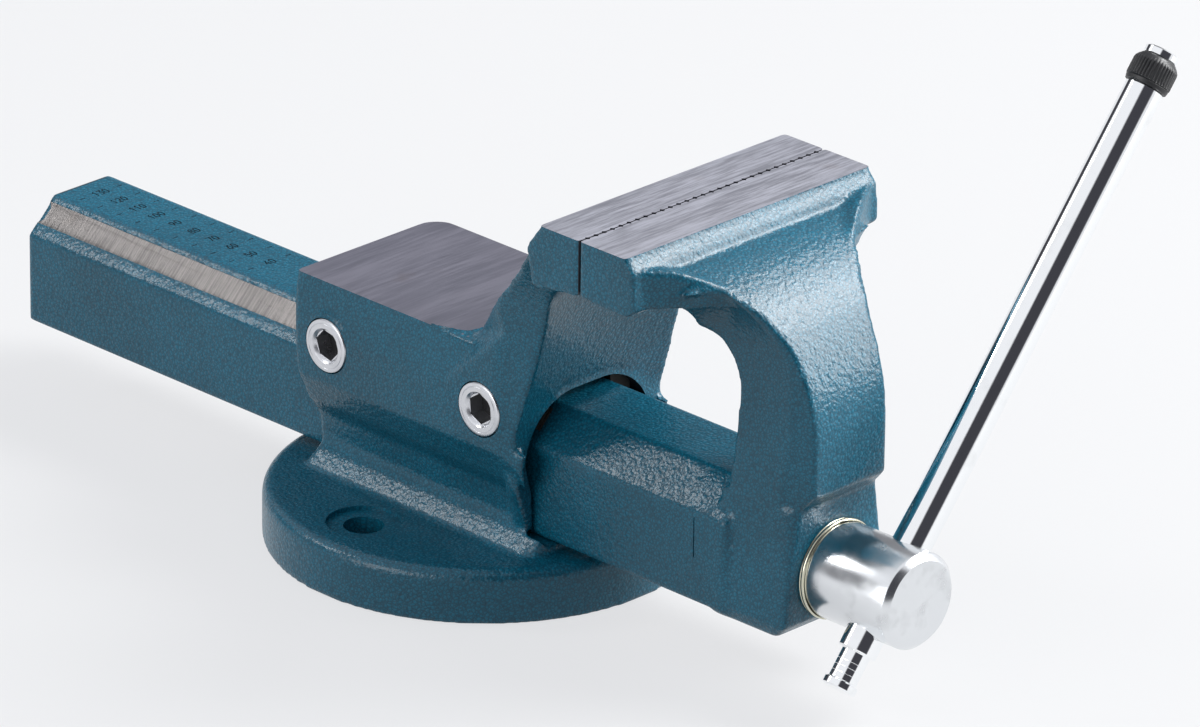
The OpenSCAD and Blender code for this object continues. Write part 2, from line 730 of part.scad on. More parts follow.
nut_head_z = nut_screw_d + 4 - nut_screw_d * 0.25;

module nut_screws() {
    color(dark_steel) for (s = [-1, 1]) translate([0, nut_y + s * nut_screw_span / 2, 0]) difference() {
        union() {
            translate([0, 0, nut_head_z - nut_screw_d]) cylinder(d = nut_screw_d * 1.6, h = nut_screw_d);
            translate([0, 0, nut_head_z - 1]) cylinder(d = nut_screw_d, h = floor_z + 6 - nut_head_z + 1);
        }
        translate([0, 0, nut_head_z - nut_screw_d - 1]) cylinder(d = nut_screw_d * 0.75 / cos(30), h = 5, $fn = 6);
    }
}

module nut_washers() {
    color(zinc) for (s = [-1, 1]) translate([0, nut_y + s * nut_screw_span / 2, nut_head_z]) difference() {
        cylinder(d = nut_screw_d * 1.65, h = nut_screw_d * 0.25);
        translate([0, 0, -1]) cylinder(d = nut_screw_d + 2 * run_gap, h = 5);
    }
}

// ---- Tommy bar ----

// Bar axis through the spindle head, up along local Z
module along_bar() {
    translate([0, -bar_y, spindle_z]) rotate([0, bar_lean, 0]) children();
}

module tommy_bar() {
    g = bar_groove_l + bar_flange_h;
    color(steel) along_bar() rotate_extrude() polygon([
        [0, -bar_down], [bar_flange_d / 2 - 0.5, -bar_down], [bar_flange_d / 2, -bar_down + 0.5],
        [bar_flange_d / 2, -bar_down + bar_flange_h], [bar_groove_d / 2, -bar_down + bar_flange_h],
        [bar_groove_d / 2, -bar_down + g], [bar_d / 2 - 0.5, -bar_down + g], [bar_d / 2, -bar_down + g + 0.5],
        [bar_d / 2, bar_up - g - 0.5], [bar_d / 2 - 0.5, bar_up - g], [bar_groove_d / 2, bar_up - g],
        [bar_groove_d / 2, bar_up - bar_flange_h], [bar_flange_d / 2, bar_up - bar_flange_h],
        [bar_flange_d / 2, bar_up - 0.5], [bar_flange_d / 2 - 0.5, bar_up], [0, bar_up]]);
}

module bar_end_ring() {
    color(rubber) along_bar() translate([0, 0, bar_up - bar_flange_h - bar_groove_l])
        rotate_extrude() difference() {
            union() {
                translate([0, 0.8]) square([end_ring_d / 2, bar_groove_l - 1.6]);
                square([end_ring_d / 2 - 0.8, bar_groove_l]);
            }
            translate([-1, -1]) square([bar_groove_d / 2 + fit_gap + 1, bar_groove_l + 2]);
            for (i = [1 : 3]) translate([end_ring_d / 2, i * bar_groove_l / 4]) circle(r = 0.6, $fn = 24);
        }
}

module bar_grip_ring() {
    color(rubber) along_bar() rotate_extrude() difference() {
        translate([bar_d / 2 + grip_d / 2 - 0.1, 0]) circle(d = grip_d, $fn = 32);
        translate([0, -5]) square([bar_d / 2 + 0.02, 10]);
    }
}

// ---- Gibs and adjusting screws ----

module gib() {
    along_y(gib_outline(0), gib_y0, gib_y0 + gib_l);
}

module gib_left() {
    color(brass) mirror([1, 0, 0]) gib();
}

module gib_right() {
    color(brass) gib();
}

module adjuster(side, y) {
    l = adjuster_face_x - gib_back_x;
    color(zinc) translate([side * gib_back_x, y, adjuster_z]) rotate([0, side * 90, 0]) difference() {
        cylinder(d = adjuster_d, h = l);
        translate([0, 0, l - socket_depth]) cylinder(d = socket_af / cos(30), h = socket_depth + 1, $fn = 6);
        translate([0, 0, l - 1]) cylinder(d1 = socket_af / cos(30) - 0.6, d2 = socket_af / cos(30) + 1.6, h = 1 + eps);
        translate([0, 0, l - 0.6]) difference() {
            cylinder(d = adjuster_d + 2, h = 2);
            translate([0, 0, -1]) cylinder(d1 = adjuster_d + 2, d2 = adjuster_d - 2, h = 2.9);
        }
    }
}

module adjuster_left_front() { adjuster(-1, -adjuster_front_y); }
module adjuster_left_rear() { adjuster(-1, adjuster_rear_y); }
module adjuster_right_front() { adjuster(1, -adjuster_front_y); }
module adjuster_right_rear() { adjuster(1, adjuster_rear_y); }

fixed_body();
sliding_jaw();
spindle();
spindle_collar();
thrust_washer();
retaining_ring();
spindle_nut();
nut_screws();
nut_washers();
tommy_bar();
bar_end_ring();
bar_grip_ring();
end_washer();
end_pin();
gib_left();
gib_right();
adjuster_left_front();
adjuster_left_rear();
adjuster_right_front();
adjuster_right_rear();
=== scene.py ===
import json
import math

import bmesh
import bpy
from mathutils import Matrix, Vector


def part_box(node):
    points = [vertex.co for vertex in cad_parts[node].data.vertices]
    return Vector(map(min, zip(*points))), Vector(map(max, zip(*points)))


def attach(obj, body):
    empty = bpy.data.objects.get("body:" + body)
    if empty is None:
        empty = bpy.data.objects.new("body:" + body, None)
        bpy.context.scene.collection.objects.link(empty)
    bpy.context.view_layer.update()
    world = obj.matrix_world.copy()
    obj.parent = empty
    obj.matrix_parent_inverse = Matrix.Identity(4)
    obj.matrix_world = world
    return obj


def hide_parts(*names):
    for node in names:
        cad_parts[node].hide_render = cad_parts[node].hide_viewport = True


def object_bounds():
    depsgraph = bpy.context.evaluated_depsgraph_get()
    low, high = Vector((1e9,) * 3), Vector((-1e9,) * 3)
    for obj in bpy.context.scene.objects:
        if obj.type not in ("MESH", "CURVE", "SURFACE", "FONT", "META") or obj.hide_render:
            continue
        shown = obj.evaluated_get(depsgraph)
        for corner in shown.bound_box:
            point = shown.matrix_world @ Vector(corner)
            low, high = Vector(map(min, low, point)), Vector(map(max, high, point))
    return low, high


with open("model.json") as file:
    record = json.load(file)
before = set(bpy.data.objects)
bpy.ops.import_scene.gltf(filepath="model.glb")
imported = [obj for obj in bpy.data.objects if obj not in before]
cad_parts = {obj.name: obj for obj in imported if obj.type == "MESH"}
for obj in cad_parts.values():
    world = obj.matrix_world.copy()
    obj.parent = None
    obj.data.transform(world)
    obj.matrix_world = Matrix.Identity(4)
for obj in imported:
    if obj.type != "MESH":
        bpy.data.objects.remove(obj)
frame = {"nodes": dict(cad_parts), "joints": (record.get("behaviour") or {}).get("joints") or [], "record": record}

cad_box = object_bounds()
MM = 0.001
scene = bpy.context.scene

# ---------------------------------------------------------------- camera
AIM = Vector((0.005335, -0.052126, 0.08))
AZIMUTH, ELEVATION, ROLL = map(math.radians, (-45.388, 23.459, 0.698))
DISTANCE = 3.50418
LENS = 301.0

FORWARD = Vector((-math.sin(AZIMUTH) * math.cos(ELEVATION),
                  math.cos(AZIMUTH) * math.cos(ELEVATION),
                  -math.sin(ELEVATION)))
FLAT_RIGHT = Vector((math.cos(AZIMUTH), math.sin(AZIMUTH), 0))


def add_camera():
    up = FLAT_RIGHT.cross(FORWARD)
    right = math.cos(ROLL) * FLAT_RIGHT + math.sin(ROLL) * up
    top = right.cross(FORWARD)
    data = bpy.data.cameras.new("camera")
    data.lens = LENS
    data.sensor_width = 36
    data.clip_end = 50
    cam = bpy.data.objects.new("camera", data)
    turn = Matrix((right, top, -FORWARD)).transposed().to_4x4()
    cam.matrix_world = Matrix.Translation(AIM - FORWARD * DISTANCE) @ turn
    scene.collection.objects.link(cam)
    scene.camera = cam


add_camera()


# ---------------------------------------------------------------- materials
class Nodes:
    """Short hand for building one node material."""

    def __init__(self, name):
        self.mat = bpy.data.materials.new(name)
        self.mat.use_nodes = True
        self.tree = self.mat.node_tree
        self.tree.nodes.clear()
        self.out = self.node("ShaderNodeOutputMaterial")
        self.bsdf = self.node("ShaderNodeBsdfPrincipled")
        self.link(self.bsdf.outputs[0], self.out.inputs["Surface"])
        self.coord = self.node("ShaderNodeTexCoord").outputs["Object"]

    def node(self, kind, **settings):
        n = self.tree.nodes.new(kind)
        for key, value in settings.items():
            setattr(n, key, value)
        return n

    def link(self, a, b):
        self.tree.links.new(a, b)

    def feed(self, socket, value):
        """Links an output to a socket, or sets a plain value on it."""
        if hasattr(value, "is_output"):
            self.link(value, socket)
        else:
            socket.default_value = value

    def mapped(self, scale):
        """The object's coordinates, stretched."""
        m = self.node("ShaderNodeMapping")
        m.inputs["Scale"].default_value = scale
        self.link(self.coord, m.inputs["Vector"])
        return m.outputs[0]

    def noise(self, vector, scale, detail=2.0, rough=0.5):
        n = self.node("ShaderNodeTexNoise")
        self.link(vector, n.inputs["Vector"])
        n.inputs["Scale"].default_value = scale
        n.inputs["Detail"].default_value = detail
        n.inputs["Roughness"].default_value = rough
        return n.outputs[0]

    def voronoi(self, vector, scale, feature, smooth=None):
        n = self.node("ShaderNodeTexVoronoi", feature=feature)
        self.link(vector, n.inputs["Vector"])
        n.inputs["Scale"].default_value = scale
        if smooth is not None:
            n.inputs["Smoothness"].default_value = smooth
        return n.outputs["Distance"]

    def math(self, operation, a, b=0.0):
        n = self.node("ShaderNodeMath", operation=operation)
        self.feed(n.inputs[0], a)
        self.feed(n.inputs[1], b)
        return n.outputs[0]

    def band(self, value, low, high, to_low=0.0, to_high=1.0):
        """A smooth step from to_low to to_high, as the value goes from low to high."""
        n = self.node("ShaderNodeMapRange", interpolation_type="SMOOTHSTEP")
        self.feed(n.inputs["Value"], value)
        for name, v in (("From Min", low), ("From Max", high), ("To Min", to_low), ("To Max", to_high)):
            n.inputs[name].default_value = v
        return n.outputs[0]

    def mix(self, share, a, b):
        n = self.node("ShaderNodeMix", data_type="RGBA")
        self.feed(n.inputs[0], share)
        self.feed(n.inputs[6], a if hasattr(a, "is_output") else (*a, 1))
        self.feed(n.inputs[7], b if hasattr(b, "is_output") else (*b, 1))
        return n.outputs[2]

    def bend(self, vector, amount, scale):
        """The coordinates pushed about by a noise, for cells that aren't straight."""
        n = self.node("ShaderNodeTexNoise")
        self.link(vector, n.inputs["Vector"])
        n.inputs["Scale"].default_value = scale
        push = self.node("ShaderNodeVectorMath", operation="MULTIPLY_ADD")
        self.link(n.outputs["Color"], push.inputs[0])
        push.inputs[1].default_value = (amount,) * 3
        self.link(vector, push.inputs[2])
        return push.outputs[0]

    def bump(self, height, strength, distance, normal=None):
        n = self.node("ShaderNodeBump")
        n.inputs["Strength"].default_value = strength
        n.inputs["Distance"].default_value = distance
        self.link(height, n.inputs["Height"])
        if normal is not None:
            self.link(normal, n.inputs["Normal"])
        return n.outputs[0]

    def finish(self, **sockets):
        for key, value in sockets.items():
            self.feed(self.bsdf.inputs[key.replace("_", " ")], value)
        return self.mat


def rgb(r, g, b):
    """Linear colour from 0-255 values as they are seen."""
    return tuple(((c / 255 + 0.055) / 1.055) ** 2.4 if c > 10.3 else c / 255 / 12.92 for c in (r, g, b))


def darker(colour, share):
    return tuple(c * share for c in colour)


def hammertone():
    """Teal hammertone enamel: fine dark speckle, leathery peel, glossy skin."""
    n = Nodes("hammertone_paint")
    bent = n.bend(n.coord, 0.0014, 600)
    cells = n.voronoi(bent, 740, "SMOOTH_F1", 0.4)
    veins = n.voronoi(bent, 740, "DISTANCE_TO_EDGE")
    speck = n.noise(n.coord, 1300, 2, 0.6)
    broad = n.noise(n.coord, 18, 2)
    leather = n.noise(n.bend(n.coord, 0.003, 200), 420, 2, 0.5)
    vein = n.band(veins, 0.0, 0.25, 0.75, 0)
    dark = n.mix(vein, rgb(2, 88, 111), rgb(0, 52, 69))
    light = n.mix(vein, rgb(6, 99, 124), rgb(0, 60, 79))
    base = n.mix(n.band(broad, 0.35, 0.65), dark, light)
    base = n.mix(n.band(speck, 0.52, 0.72, 0, 0.55), base, rgb(0, 46, 63))
    height = n.math("ADD", n.math("MULTIPLY", cells, -1.0), n.math("MULTIPLY", speck, 0.3))
    peel = n.bump(leather, 0.4, 0.0006)
    n.mat.diffuse_color = (*rgb(8, 84, 110), 1)
    return n.finish(Base_Color=base, Metallic=0.0, Specular_IOR_Level=0.2,
                    Coat_Weight=0.5, Coat_Roughness=0.2,
                    Roughness=n.band(cells, 0.1, 0.6, 0.36, 0.5),
                    Coat_Normal=n.bump(height, 0.3, 0.0003, peel),
                    Normal=n.bump(height, 0.45, 0.0005, peel))


def ground(name, stretch, low, high, rough=(0.34, 0.5), line=0.5, broad_share=0.45):
    """Machined steel: fine lines, drawn along the axis where stretch is small."""
    n = Nodes(name)
    fine = n.noise(n.mapped(stretch), 1.0, 4, 0.7)
    broad = n.noise(n.mapped(tuple(s * 0.13 for s in stretch)), 1.0, 3, 0.6)
    stain = n.noise(n.coord, 55, 3)
    both = n.math("ADD", n.math("MULTIPLY", fine, 1 - broad_share), n.math("MULTIPLY", broad, broad_share))
    tone = n.mix(n.band(both, 0.36, 0.64), low, high)
    rust = tuple(c * share for c, share in zip(low, (0.95, 0.82, 0.72)))
    tone = n.mix(n.band(stain, 0.62, 0.78, 0, 0.35), tone, rust)
    n.mat.diffuse_color = (*high, 1)
    return n.finish(Base_Color=tone, Metallic=0.85, Roughness=n.band(fine, 0.3, 0.7, *rough),
                    Normal=n.bump(both, line, 0.00025))


def plated(name, colour, rough, wear=0.03):
    """Bright plated steel with faint drawn streaks and a few dull spots."""
    n = Nodes(name)
    spots = n.noise(n.coord, 90, 3)
    fine = n.noise(n.coord, 1400, 2)
    tone = n.mix(n.band(spots, 0.55, 0.75, 0, 0.5), colour, darker(colour, 0.86))
    roughness = n.math("ADD", n.band(spots, 0.45, 0.75, rough, rough + wear),
                       n.math("MULTIPLY", fine, wear * 0.6))
    n.mat.diffuse_color = (*colour, 1)
    return n.finish(Base_Color=tone, Metallic=1.0, Roughness=roughness, Normal=n.bump(fine, 0.05, 0.0001))


def turned(name, colour, centre, axis, rough):
    """Plated steel with the fine rings of a lathe about an axis."""
    n = Nodes(name)
    shift = n.node("ShaderNodeMapping")
    shift.inputs["Location"].default_value = tuple(-c for c in centre)
    n.link(n.coord, shift.inputs["Vector"])
    flat = n.node("ShaderNodeVectorMath", operation="MULTIPLY")
    n.link(shift.outputs[0], flat.inputs[0])
    flat.inputs[1].default_value = tuple(0 if a else 1 for a in axis)
    radius = n.node("ShaderNodeVectorMath", operation="LENGTH")
    n.link(flat.outputs[0], radius.inputs[0])
    rings = n.math("SINE", n.math("MULTIPLY", radius.outputs["Value"], 22000))
    grain = n.noise(n.coord, 800, 3)
    spots = n.noise(n.coord, 110, 3)
    tone = n.mix(n.band(spots, 0.5, 0.72, 0, 0.6), colour, darker(colour, 0.8))
    n.mat.diffuse_color = (*colour, 1)
    height = n.math("ADD", n.math("MULTIPLY", rings, 0.12), n.math("MULTIPLY", grain, 0.25))
    return n.finish(Base_Color=tone, Metallic=1.0, Roughness=n.band(spots, 0.3, 0.8, rough, rough + 0.12),
                    Normal=n.bump(height, 0.08, 0.00008))


def plain(name, colour, rough, metallic=0.0, bump=0.15, scale=700):
    """A dull even surface with a fine grain and slightly darker spots."""
    n = Nodes(name)
    grain = n.noise(n.coord, scale, 3)
    spots = n.noise(n.coord, 60, 2)
    tone = n.mix(n.band(spots, 0.4, 0.7, 0, 0.6), colour, darker(colour, 0.75))
    n.mat.diffuse_color = (*colour, 1)
    return n.finish(Base_Color=tone, Metallic=metallic,
                    Roughness=n.band(grain, 0.3, 0.7, rough - 0.05, rough + 0.05),
                    Normal=n.bump(grain, bump, 0.0002))


SPINDLE_Z = sum(c.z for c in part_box("spindle")) / 2

PAINT = hammertone()
JAW_STEEL = ground("jaw_ground", (60, 900, 900), rgb(148, 149, 158), rgb(190, 191, 201),
                   (0.5, 0.58), line=0.2, broad_share=0.3)
ANVIL_STEEL = ground("anvil_ground", (40, 700, 700), rgb(115, 115, 127), rgb(134, 133, 145),
                     (0.52, 0.6), line=0.12)
STRIP_STEEL = ground("strip_milled", (60, 1100, 60), rgb(90, 88, 87), rgb(140, 136, 134), broad_share=0.15)
BORE_STEEL = plain("bore_steel", rgb(78, 80, 86), 0.45, 0.8)
CHROME = plated("bright_plate", (0.96, 0.975, 0.985), 0.05)
ZINC = plated("zinc_plate", (0.70, 0.71, 0.74), 0.24, 0.1)
HEAD = turned("head_plate", (0.78, 0.80, 0.82), (0, 0, SPINDLE_Z), (0, 1, 0), 0.17)
YELLOW = plated("yellow_zinc", (0.58, 0.57, 0.46), 0.2, 0.08)
STEEL = plated("bright_steel", (0.50, 0.50, 0.52), 0.3, 0.15)
BLACK = plain("black_oxide", rgb(34, 34, 38), 0.4, 0.6)
# Painted shade: near black, for the inside walls and floor of the mouth and the floors of the hex sockets, where
# shade falls.
PAINTED_SHADE = plain("shadow_steel", rgb(20, 20, 22), 0.6, 0.3)
BRONZE = plain("bronze", rgb(150, 116, 64), 0.38, 0.9)
# Painted shade: the brass of the gibs darkened to near black, as their ends show in the shadow of the mouth.
SHADED_BRASS = plain("gib_brass", rgb(34, 30, 26), 0.6, 0.4)
RUBBER = plain("ribbed_rubber", rgb(23, 24, 27), 0.42, 0.0, 0.3, 900)
STAMP = plain("stamped_mark", rgb(18, 42, 56), 0.6, 0.0, 0.2)


# ---------------------------------------------------------------- outlines
def turns(start, end, steps):
    """Angles in radians, in equal steps between two angles in degrees."""
    return [math.radians(start + (end - start) * i / steps) for i in range(steps + 1)]


def in_mm(points):
    return [tuple(c * MM for c in p) for p in points]


def mirrored(half):
    """A whole outline from one half of it, mirrored in its first coordinate."""
    return half + [(-x, other) for x, other in reversed(half)]


def circle(cx, cy, r, count=64, start=0.0):
    return [(cx + r * math.cos(start + math.tau * i / count), cy + r * math.sin(start + math.tau * i / count))
            for i in range(count)]


def corner(cx, cy, r, start, steps=10):
    """A quarter circle about a point, from an angle in degrees on."""
    return [(cx + r * math.cos(a), cy + r * math.sin(a)) for a in turns(start, start + 90, steps)]


def rounded(t, r, radius, start, end, steps):
    """Ring points on an arc about (t, r), from angle start to end in degrees, 0 along the axis."""
    return [(t + radius * math.cos(a), r + radius * math.sin(a)) for a in turns(start, end, steps)]


# ---------------------------------------------------------------- mesh tools
def new_object(name, mesh):
    o = bpy.data.objects.new(name, mesh)
    scene.collection.objects.link(o)
    return o


def from_bmesh(name, bm):
    mesh = bpy.data.meshes.new(name)
    bmesh.ops.recalc_face_normals(bm, faces=bm.faces)
    bm.to_mesh(mesh)
    bm.free()
    return new_object(name, mesh)


def remove(*objects):
    for o in objects:
        mesh = o.data
        bpy.data.objects.remove(o)
        bpy.data.meshes.remove(mesh)


def taken(o):
    """The mesh of an object as a bmesh, and the object goes."""
    bm = bmesh.new()
    bm.from_mesh(o.data)
    remove(o)
    return bm


def welded(node):
    """A closed copy of a CAD node's mesh."""
    bm = bmesh.new()
    bm.from_mesh(frame["nodes"][node].data)
    bmesh.ops.remove_doubles(bm, verts=bm.verts, dist=2e-6)
    return bm


def prism(outline, axis, low, high):
    """A closed block from an outline drawn along an axis: the outline gives the other two coordinates."""
    place = {"x": lambda a, b, t: (t, a, b),
             "y": lambda a, b, t: (a, t, b),
             "z": lambda a, b, t: (a, b, t)}[axis]
    bm = bmesh.new()
    ends = [[bm.verts.new(place(a, b, t)) for a, b in outline] for t in (low, high)]
    bm.faces.new(ends[0])
    bm.faces.new(ends[1])
    count = len(outline)
    for i in range(count):
        j = (i + 1) % count
        bm.faces.new((ends[0][i], ends[0][j], ends[1][j], ends[1][i]))
    bmesh.ops.recalc_face_normals(bm, faces=bm.faces)
    return bm


def side_prism(outline, side, near, far):
    """A block from an outline in y and z, between two distances from the middle of one side (1 or -1)."""
    return prism(outline, "x", *sorted((side * near, side * far)))


def block(low, high):
    plan = [(low[0], low[1]), (high[0], low[1]), (high[0], high[1]), (low[0], high[1])]
    return prism(plan, "z", low[2], high[2])


def lathe(rings, origin, axis, count=96, ribs=None):
    """A closed solid of revolution: rings are (distance along the axis, radius).

    ribs(t, angle), if given, changes a radius."""
    axis = Vector(axis).normalized()
    side = axis.cross(Vector((0, 1, 0)) if abs(axis.y) < 0.9 else Vector((1, 0, 0))).normalized()
    up = axis.cross(side)
    origin = Vector(origin)
    bm = bmesh.new()
    rows = []
    for t, r in rings:
        if r <= 0:
            rows.append([bm.verts.new(origin + axis * t)])
            continue
        row = []
        for i in range(count):
            a = math.tau * i / count
            q = r + (ribs(t, a) if ribs else 0)
            row.append(bm.verts.new(origin + axis * t + (side * math.cos(a) + up * math.sin(a)) * q))
        rows.append(row)
    for one, two in zip(rows, rows[1:]):
        for i in range(count):
            k = (i + 1) % count
            if len(one) == 1:
                bm.faces.new((one[0], two[k], two[i]))
            elif len(two) == 1:
                bm.faces.new((one[i], one[k], two[0]))
            else:
                bm.faces.new((one[i], one[k], two[k], two[i]))
    if len(rows[0]) > 1 and len(rows[-1]) > 1:
        if max(abs(a - b) for a, b in zip(rings[0], rings[-1])) < 1e-9:    # a ring with a bore
            bmesh.ops.remove_doubles(bm, verts=rows[0] + rows[-1], dist=1e-7)
        else:
            bm.faces.new(rows[0])
            bm.faces.new(rows[-1])
    bmesh.ops.recalc_face_normals(bm, faces=bm.faces)
    return bm


def stroke(points, width, closed):
    """The two edges of a thick line through points."""
    pts = [Vector(p) for p in points]
    count = len(pts)
    left, right = [], []
    for i, p in enumerate(pts):
        before = (p - pts[i - 1]).normalized() if i or closed else None
        after = (pts[(i + 1) % count] - p).normalized() if i < count - 1 or closed else None
        direction = ((before or after) + (after or before)).normalized()
        normal = Vector((-direction.y, direction.x))
        turn = max(0.45, (before or after).dot(direction))
        left.append(tuple(p + normal * (width / 2 / turn)))
        right.append(tuple(p - normal * (width / 2 / turn)))
    return left, right


def stroke_solid(points, width, low, high, closed):
    """A closed solid along a flat line, between two heights."""
    left, right = stroke(points, width, closed)
    if not closed:
        return prism(left + right[::-1], "z", low, high)
    bm = bmesh.new()
    rings = [[bm.verts.new((x, y, z)) for x, y in line] for line in (left, right) for z in (low, high)]
    count = len(left)
    for one, two in ((0, 1), (1, 3), (3, 2), (2, 0)):
        for i in range(count):
            k = (i + 1) % count
            bm.faces.new((rings[one][i], rings[one][k], rings[two][k], rings[two][i]))
    bmesh.ops.recalc_face_normals(bm, faces=bm.faces)
    return bm


def merge(target, *others):
    """Adds the meshes of other bmeshes to target, and frees them."""
    for other in others:
        scrap = bpy.data.meshes.new("scrap")
        other.to_mesh(scrap)
        other.free()
        target.from_mesh(scrap)
        bpy.data.meshes.remove(scrap)
    return target


def apply(o):
    """Applies every modifier of an object to its mesh."""
    bpy.context.view_layer.update()
    mesh = bpy.data.meshes.new_from_object(o.evaluated_get(bpy.context.evaluated_depsgraph_get()))
    o.modifiers.clear()
    old = o.data
    o.data = mesh
    bpy.data.meshes.remove(old)
    return o


def cut(o, cutter):
    """Cuts a bmesh away from an object."""
    tool = from_bmesh("cutter", cutter)
    m = o.modifiers.new("cut", "BOOLEAN")
    m.operation = "DIFFERENCE"
    m.solver = "MANIFOLD"
    m.object = tool
    apply(o)
    remove(tool)


def softened(name, bm):
    """A cast skin: voxels, smoothed corners and half of the faces."""
    o = from_bmesh(name, bm)
    m = o.modifiers.new("voxel", "REMESH")
    m.mode = "VOXEL"
    m.voxel_size = VOXEL
    m = o.modifiers.new("smooth", "SMOOTH")
    m.factor = 0.5
    m.iterations = SMOOTH_ROUNDS
    m = o.modifiers.new("fewer", "DECIMATE")
    m.ratio = 0.5
    return apply(o)


def shade(o, angle=32):
    """Smooth shading, with sharp edges above an angle in degrees."""
    for p in o.data.polygons:
        p.use_smooth = True
    o.data.set_sharp_from_angle(angle=math.radians(angle))


def paint_faces(o, materials, choose):
    """Gives each face the one of the materials that choose(centre, normal) returns."""
    o.data.materials.clear()
    for m in materials:
        o.data.materials.append(m)
    for p in o.data.polygons:
        p.material_index = materials.index(choose(p.center, p.normal))


def settle(o, body, node):
    """Puts a finished piece on a body, in the place of a CAD node."""
    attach(o, body)
    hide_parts(node)


def finish(name, bm, material, body, node, angle=30):
    """A piece of one material from a bmesh, in the place of a CAD node."""
    o = from_bmesh(name, bm)
    shade(o, angle)
    o.data.materials.append(material)
    settle(o, body, node)


# ---------------------------------------------------------------- sizes
# Names that end in X, Y or Z are places on that axis, and those that end in R are radii.
# read from the frame
BODY_LOW, BODY_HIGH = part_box("fixed_body")
SLIDE_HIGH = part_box("sliding_jaw")[1]
MOUNTS = {m["name"]: m for m in frame["record"]["mounts"]}
JAW_TOP = BODY_HIGH.z
JAW_X = SLIDE_HIGH.x
REAR_FACE = BODY_LOW.y
SLIDE_END = SLIDE_HIGH.y
ANVIL_Z = MOUNTS["anvil_face"]["pos_m"][2]
ANVIL_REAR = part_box("gib_left")[1].y + 7.5 * MM
BOLT_X = MOUNTS["bench_bolts"]["dims"]["spacing_x_mm"] / 2 * MM
BOLT_Y = MOUNTS["bench_bolts"]["pos_m"][1]
BOLT_R = MOUNTS["bench_bolts"]["dims"]["hole_r_mm"] * MM
ADJUSTERS = ["adjuster_left_front", "adjuster_left_rear", "adjuster_right_front", "adjuster_right_rear"]

# the cast skins
VOXEL = 0.95 * MM
SMOOTH_ROUNDS = 10
EXTRA = 4 * MM       # a ground face is filled so much higher before smoothing, and cut back after it
REACH = 200 * MM     # half width of the blocks that cut a face back

# jaws: depth of the ground tops, the gap between the closed faces, and the faces with their V grooves
REAR_JAW_DEPTH, FRONT_JAW_DEPTH = 18.4 * MM, 21.3 * MM
JAW_GAP = 0.6 * MM
FRONT_FACE = round(REAR_FACE - JAW_GAP, 6)
FACE_HEIGHT = 21 * MM
GROOVE_PITCH, GROOVE_HALF, GROOVE_DEPTH, GROOVE_LENGTH = 4 * MM, 0.95 * MM, 0.8 * MM, 17.5 * MM
GROOVES_A_SIDE = 14

# fixed body: base with spot faces, foot, anvil (ANVIL_EDGE is its front end at the sides), bores, mouth
BASE_TOP = 20 * MM
SPOT_R, SPOT_DEPTH = 13.5 * MM, 1.5 * MM
FOOT_X, FOOT_FRONT = 36.5 * MM, -61.5 * MM
ANVIL_X, ANVIL_EDGE, ANVIL_FRONT = 34.5 * MM, -8.5 * MM, -26 * MM
ADJUSTER_BORE_R = 10.35 * MM
SLIDE_TOP = 70.5 * MM
MOUTH_X, MOUTH_TOP, MOUTH_R = 31 * MM, SLIDE_TOP + 4 * MM, 24 * MM
MOUTH_LOW, MOUTH_BACK = 23.65 * MM, -44 * MM

# sliding jaw: axes of the arm's curve, the throat and the fillet (web) under the spread, guide strips, scale
ARM_Y, ARM_Z, ARM_R = -115.5 * MM, 94 * MM, 62.5 * MM
THROAT_Y, THROAT_Z, THROAT_R = -124 * MM, 106 * MM, 20 * MM
WEB_X, WEB_Z, WEB_R = 47.7 * MM, 112 * MM, 28 * MM
SLIDE_X = 26 * MM
DIAGONAL = math.sqrt(0.5)
STRIP_X, STRIP_Z, STRIP_HALF = 18.75 * MM, 65.25 * MM, 4.6 * MM
STRIP_DEPTH, STRIP_START = 0.4 * MM, -50 * MM
SCALE_DEPTH, SCALE_START = 0.35 * MM, 95 * MM

# tommy bar
BAR_R, BAR_GROOVE_R, BAR_FLANGE_R = 7 * MM, 5.25 * MM, 6.25 * MM


# ---------------------------------------------------------------- both jaws
def grip_cutter(face_y, into):
    """V grooves across a jaw face: into is 1 or -1, the way into the jaw."""
    cutter = bmesh.new()
    outer_y, root_y = face_y - into * 0.15 * MM, face_y + into * GROOVE_DEPTH
    for i in range(-GROOVES_A_SIDE, GROOVES_A_SIDE + 1):
        x = i * GROOVE_PITCH
        groove = [(x - GROOVE_HALF, outer_y), (x + GROOVE_HALF, outer_y), (x, root_y)]
        merge(cutter, prism(groove, "z", JAW_TOP - GROOVE_LENGTH, JAW_TOP + 2 * MM))
    return cutter


def above_jaws():
    return block((-REACH, -2 * REACH, JAW_TOP), (REACH, REACH, JAW_TOP + 50 * MM))


def on_jaw_top(c, n):
    return n.z > 0.99 and abs(c.z - JAW_TOP) < 0.01 * MM


# ---------------------------------------------------------------- fixed body
def anvil_front(inset=0.0):
    """The ground face's front boundary in plan: it turns in at both sides to meet the bevelled neck."""
    run, depth = 13 * MM, ANVIL_EDGE - ANVIL_FRONT
    return mirrored([(-ANVIL_X + run * (1 - math.cos(a)), ANVIL_EDGE + inset - depth * math.sin(a))
                     for a in turns(0, 90, 10)])


def mouth():
    """The rounded mouth around the slide, narrower towards its floor."""
    side = [(MOUTH_X - 3.7 * MM, MOUTH_LOW), (MOUTH_X - 3 * MM, 40 * MM), (MOUTH_X - 1.5 * MM, 46 * MM),
            (MOUTH_X, 52 * MM)]
    return mirrored(side + corner(MOUTH_X - MOUTH_R, MOUTH_TOP - MOUTH_R, MOUTH_R, 0, 15))


def adjuster_place(node):
    """An adjuster's side (1 or -1), its axis in y and z, and how far out its two ends are."""
    low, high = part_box(node)
    side = 1 if low.x > 0 else -1
    inner, face = sorted((abs(low.x), abs(high.x)))
    return side, (low.y + high.y) / 2, (low.z + high.z) / 2, inner, face


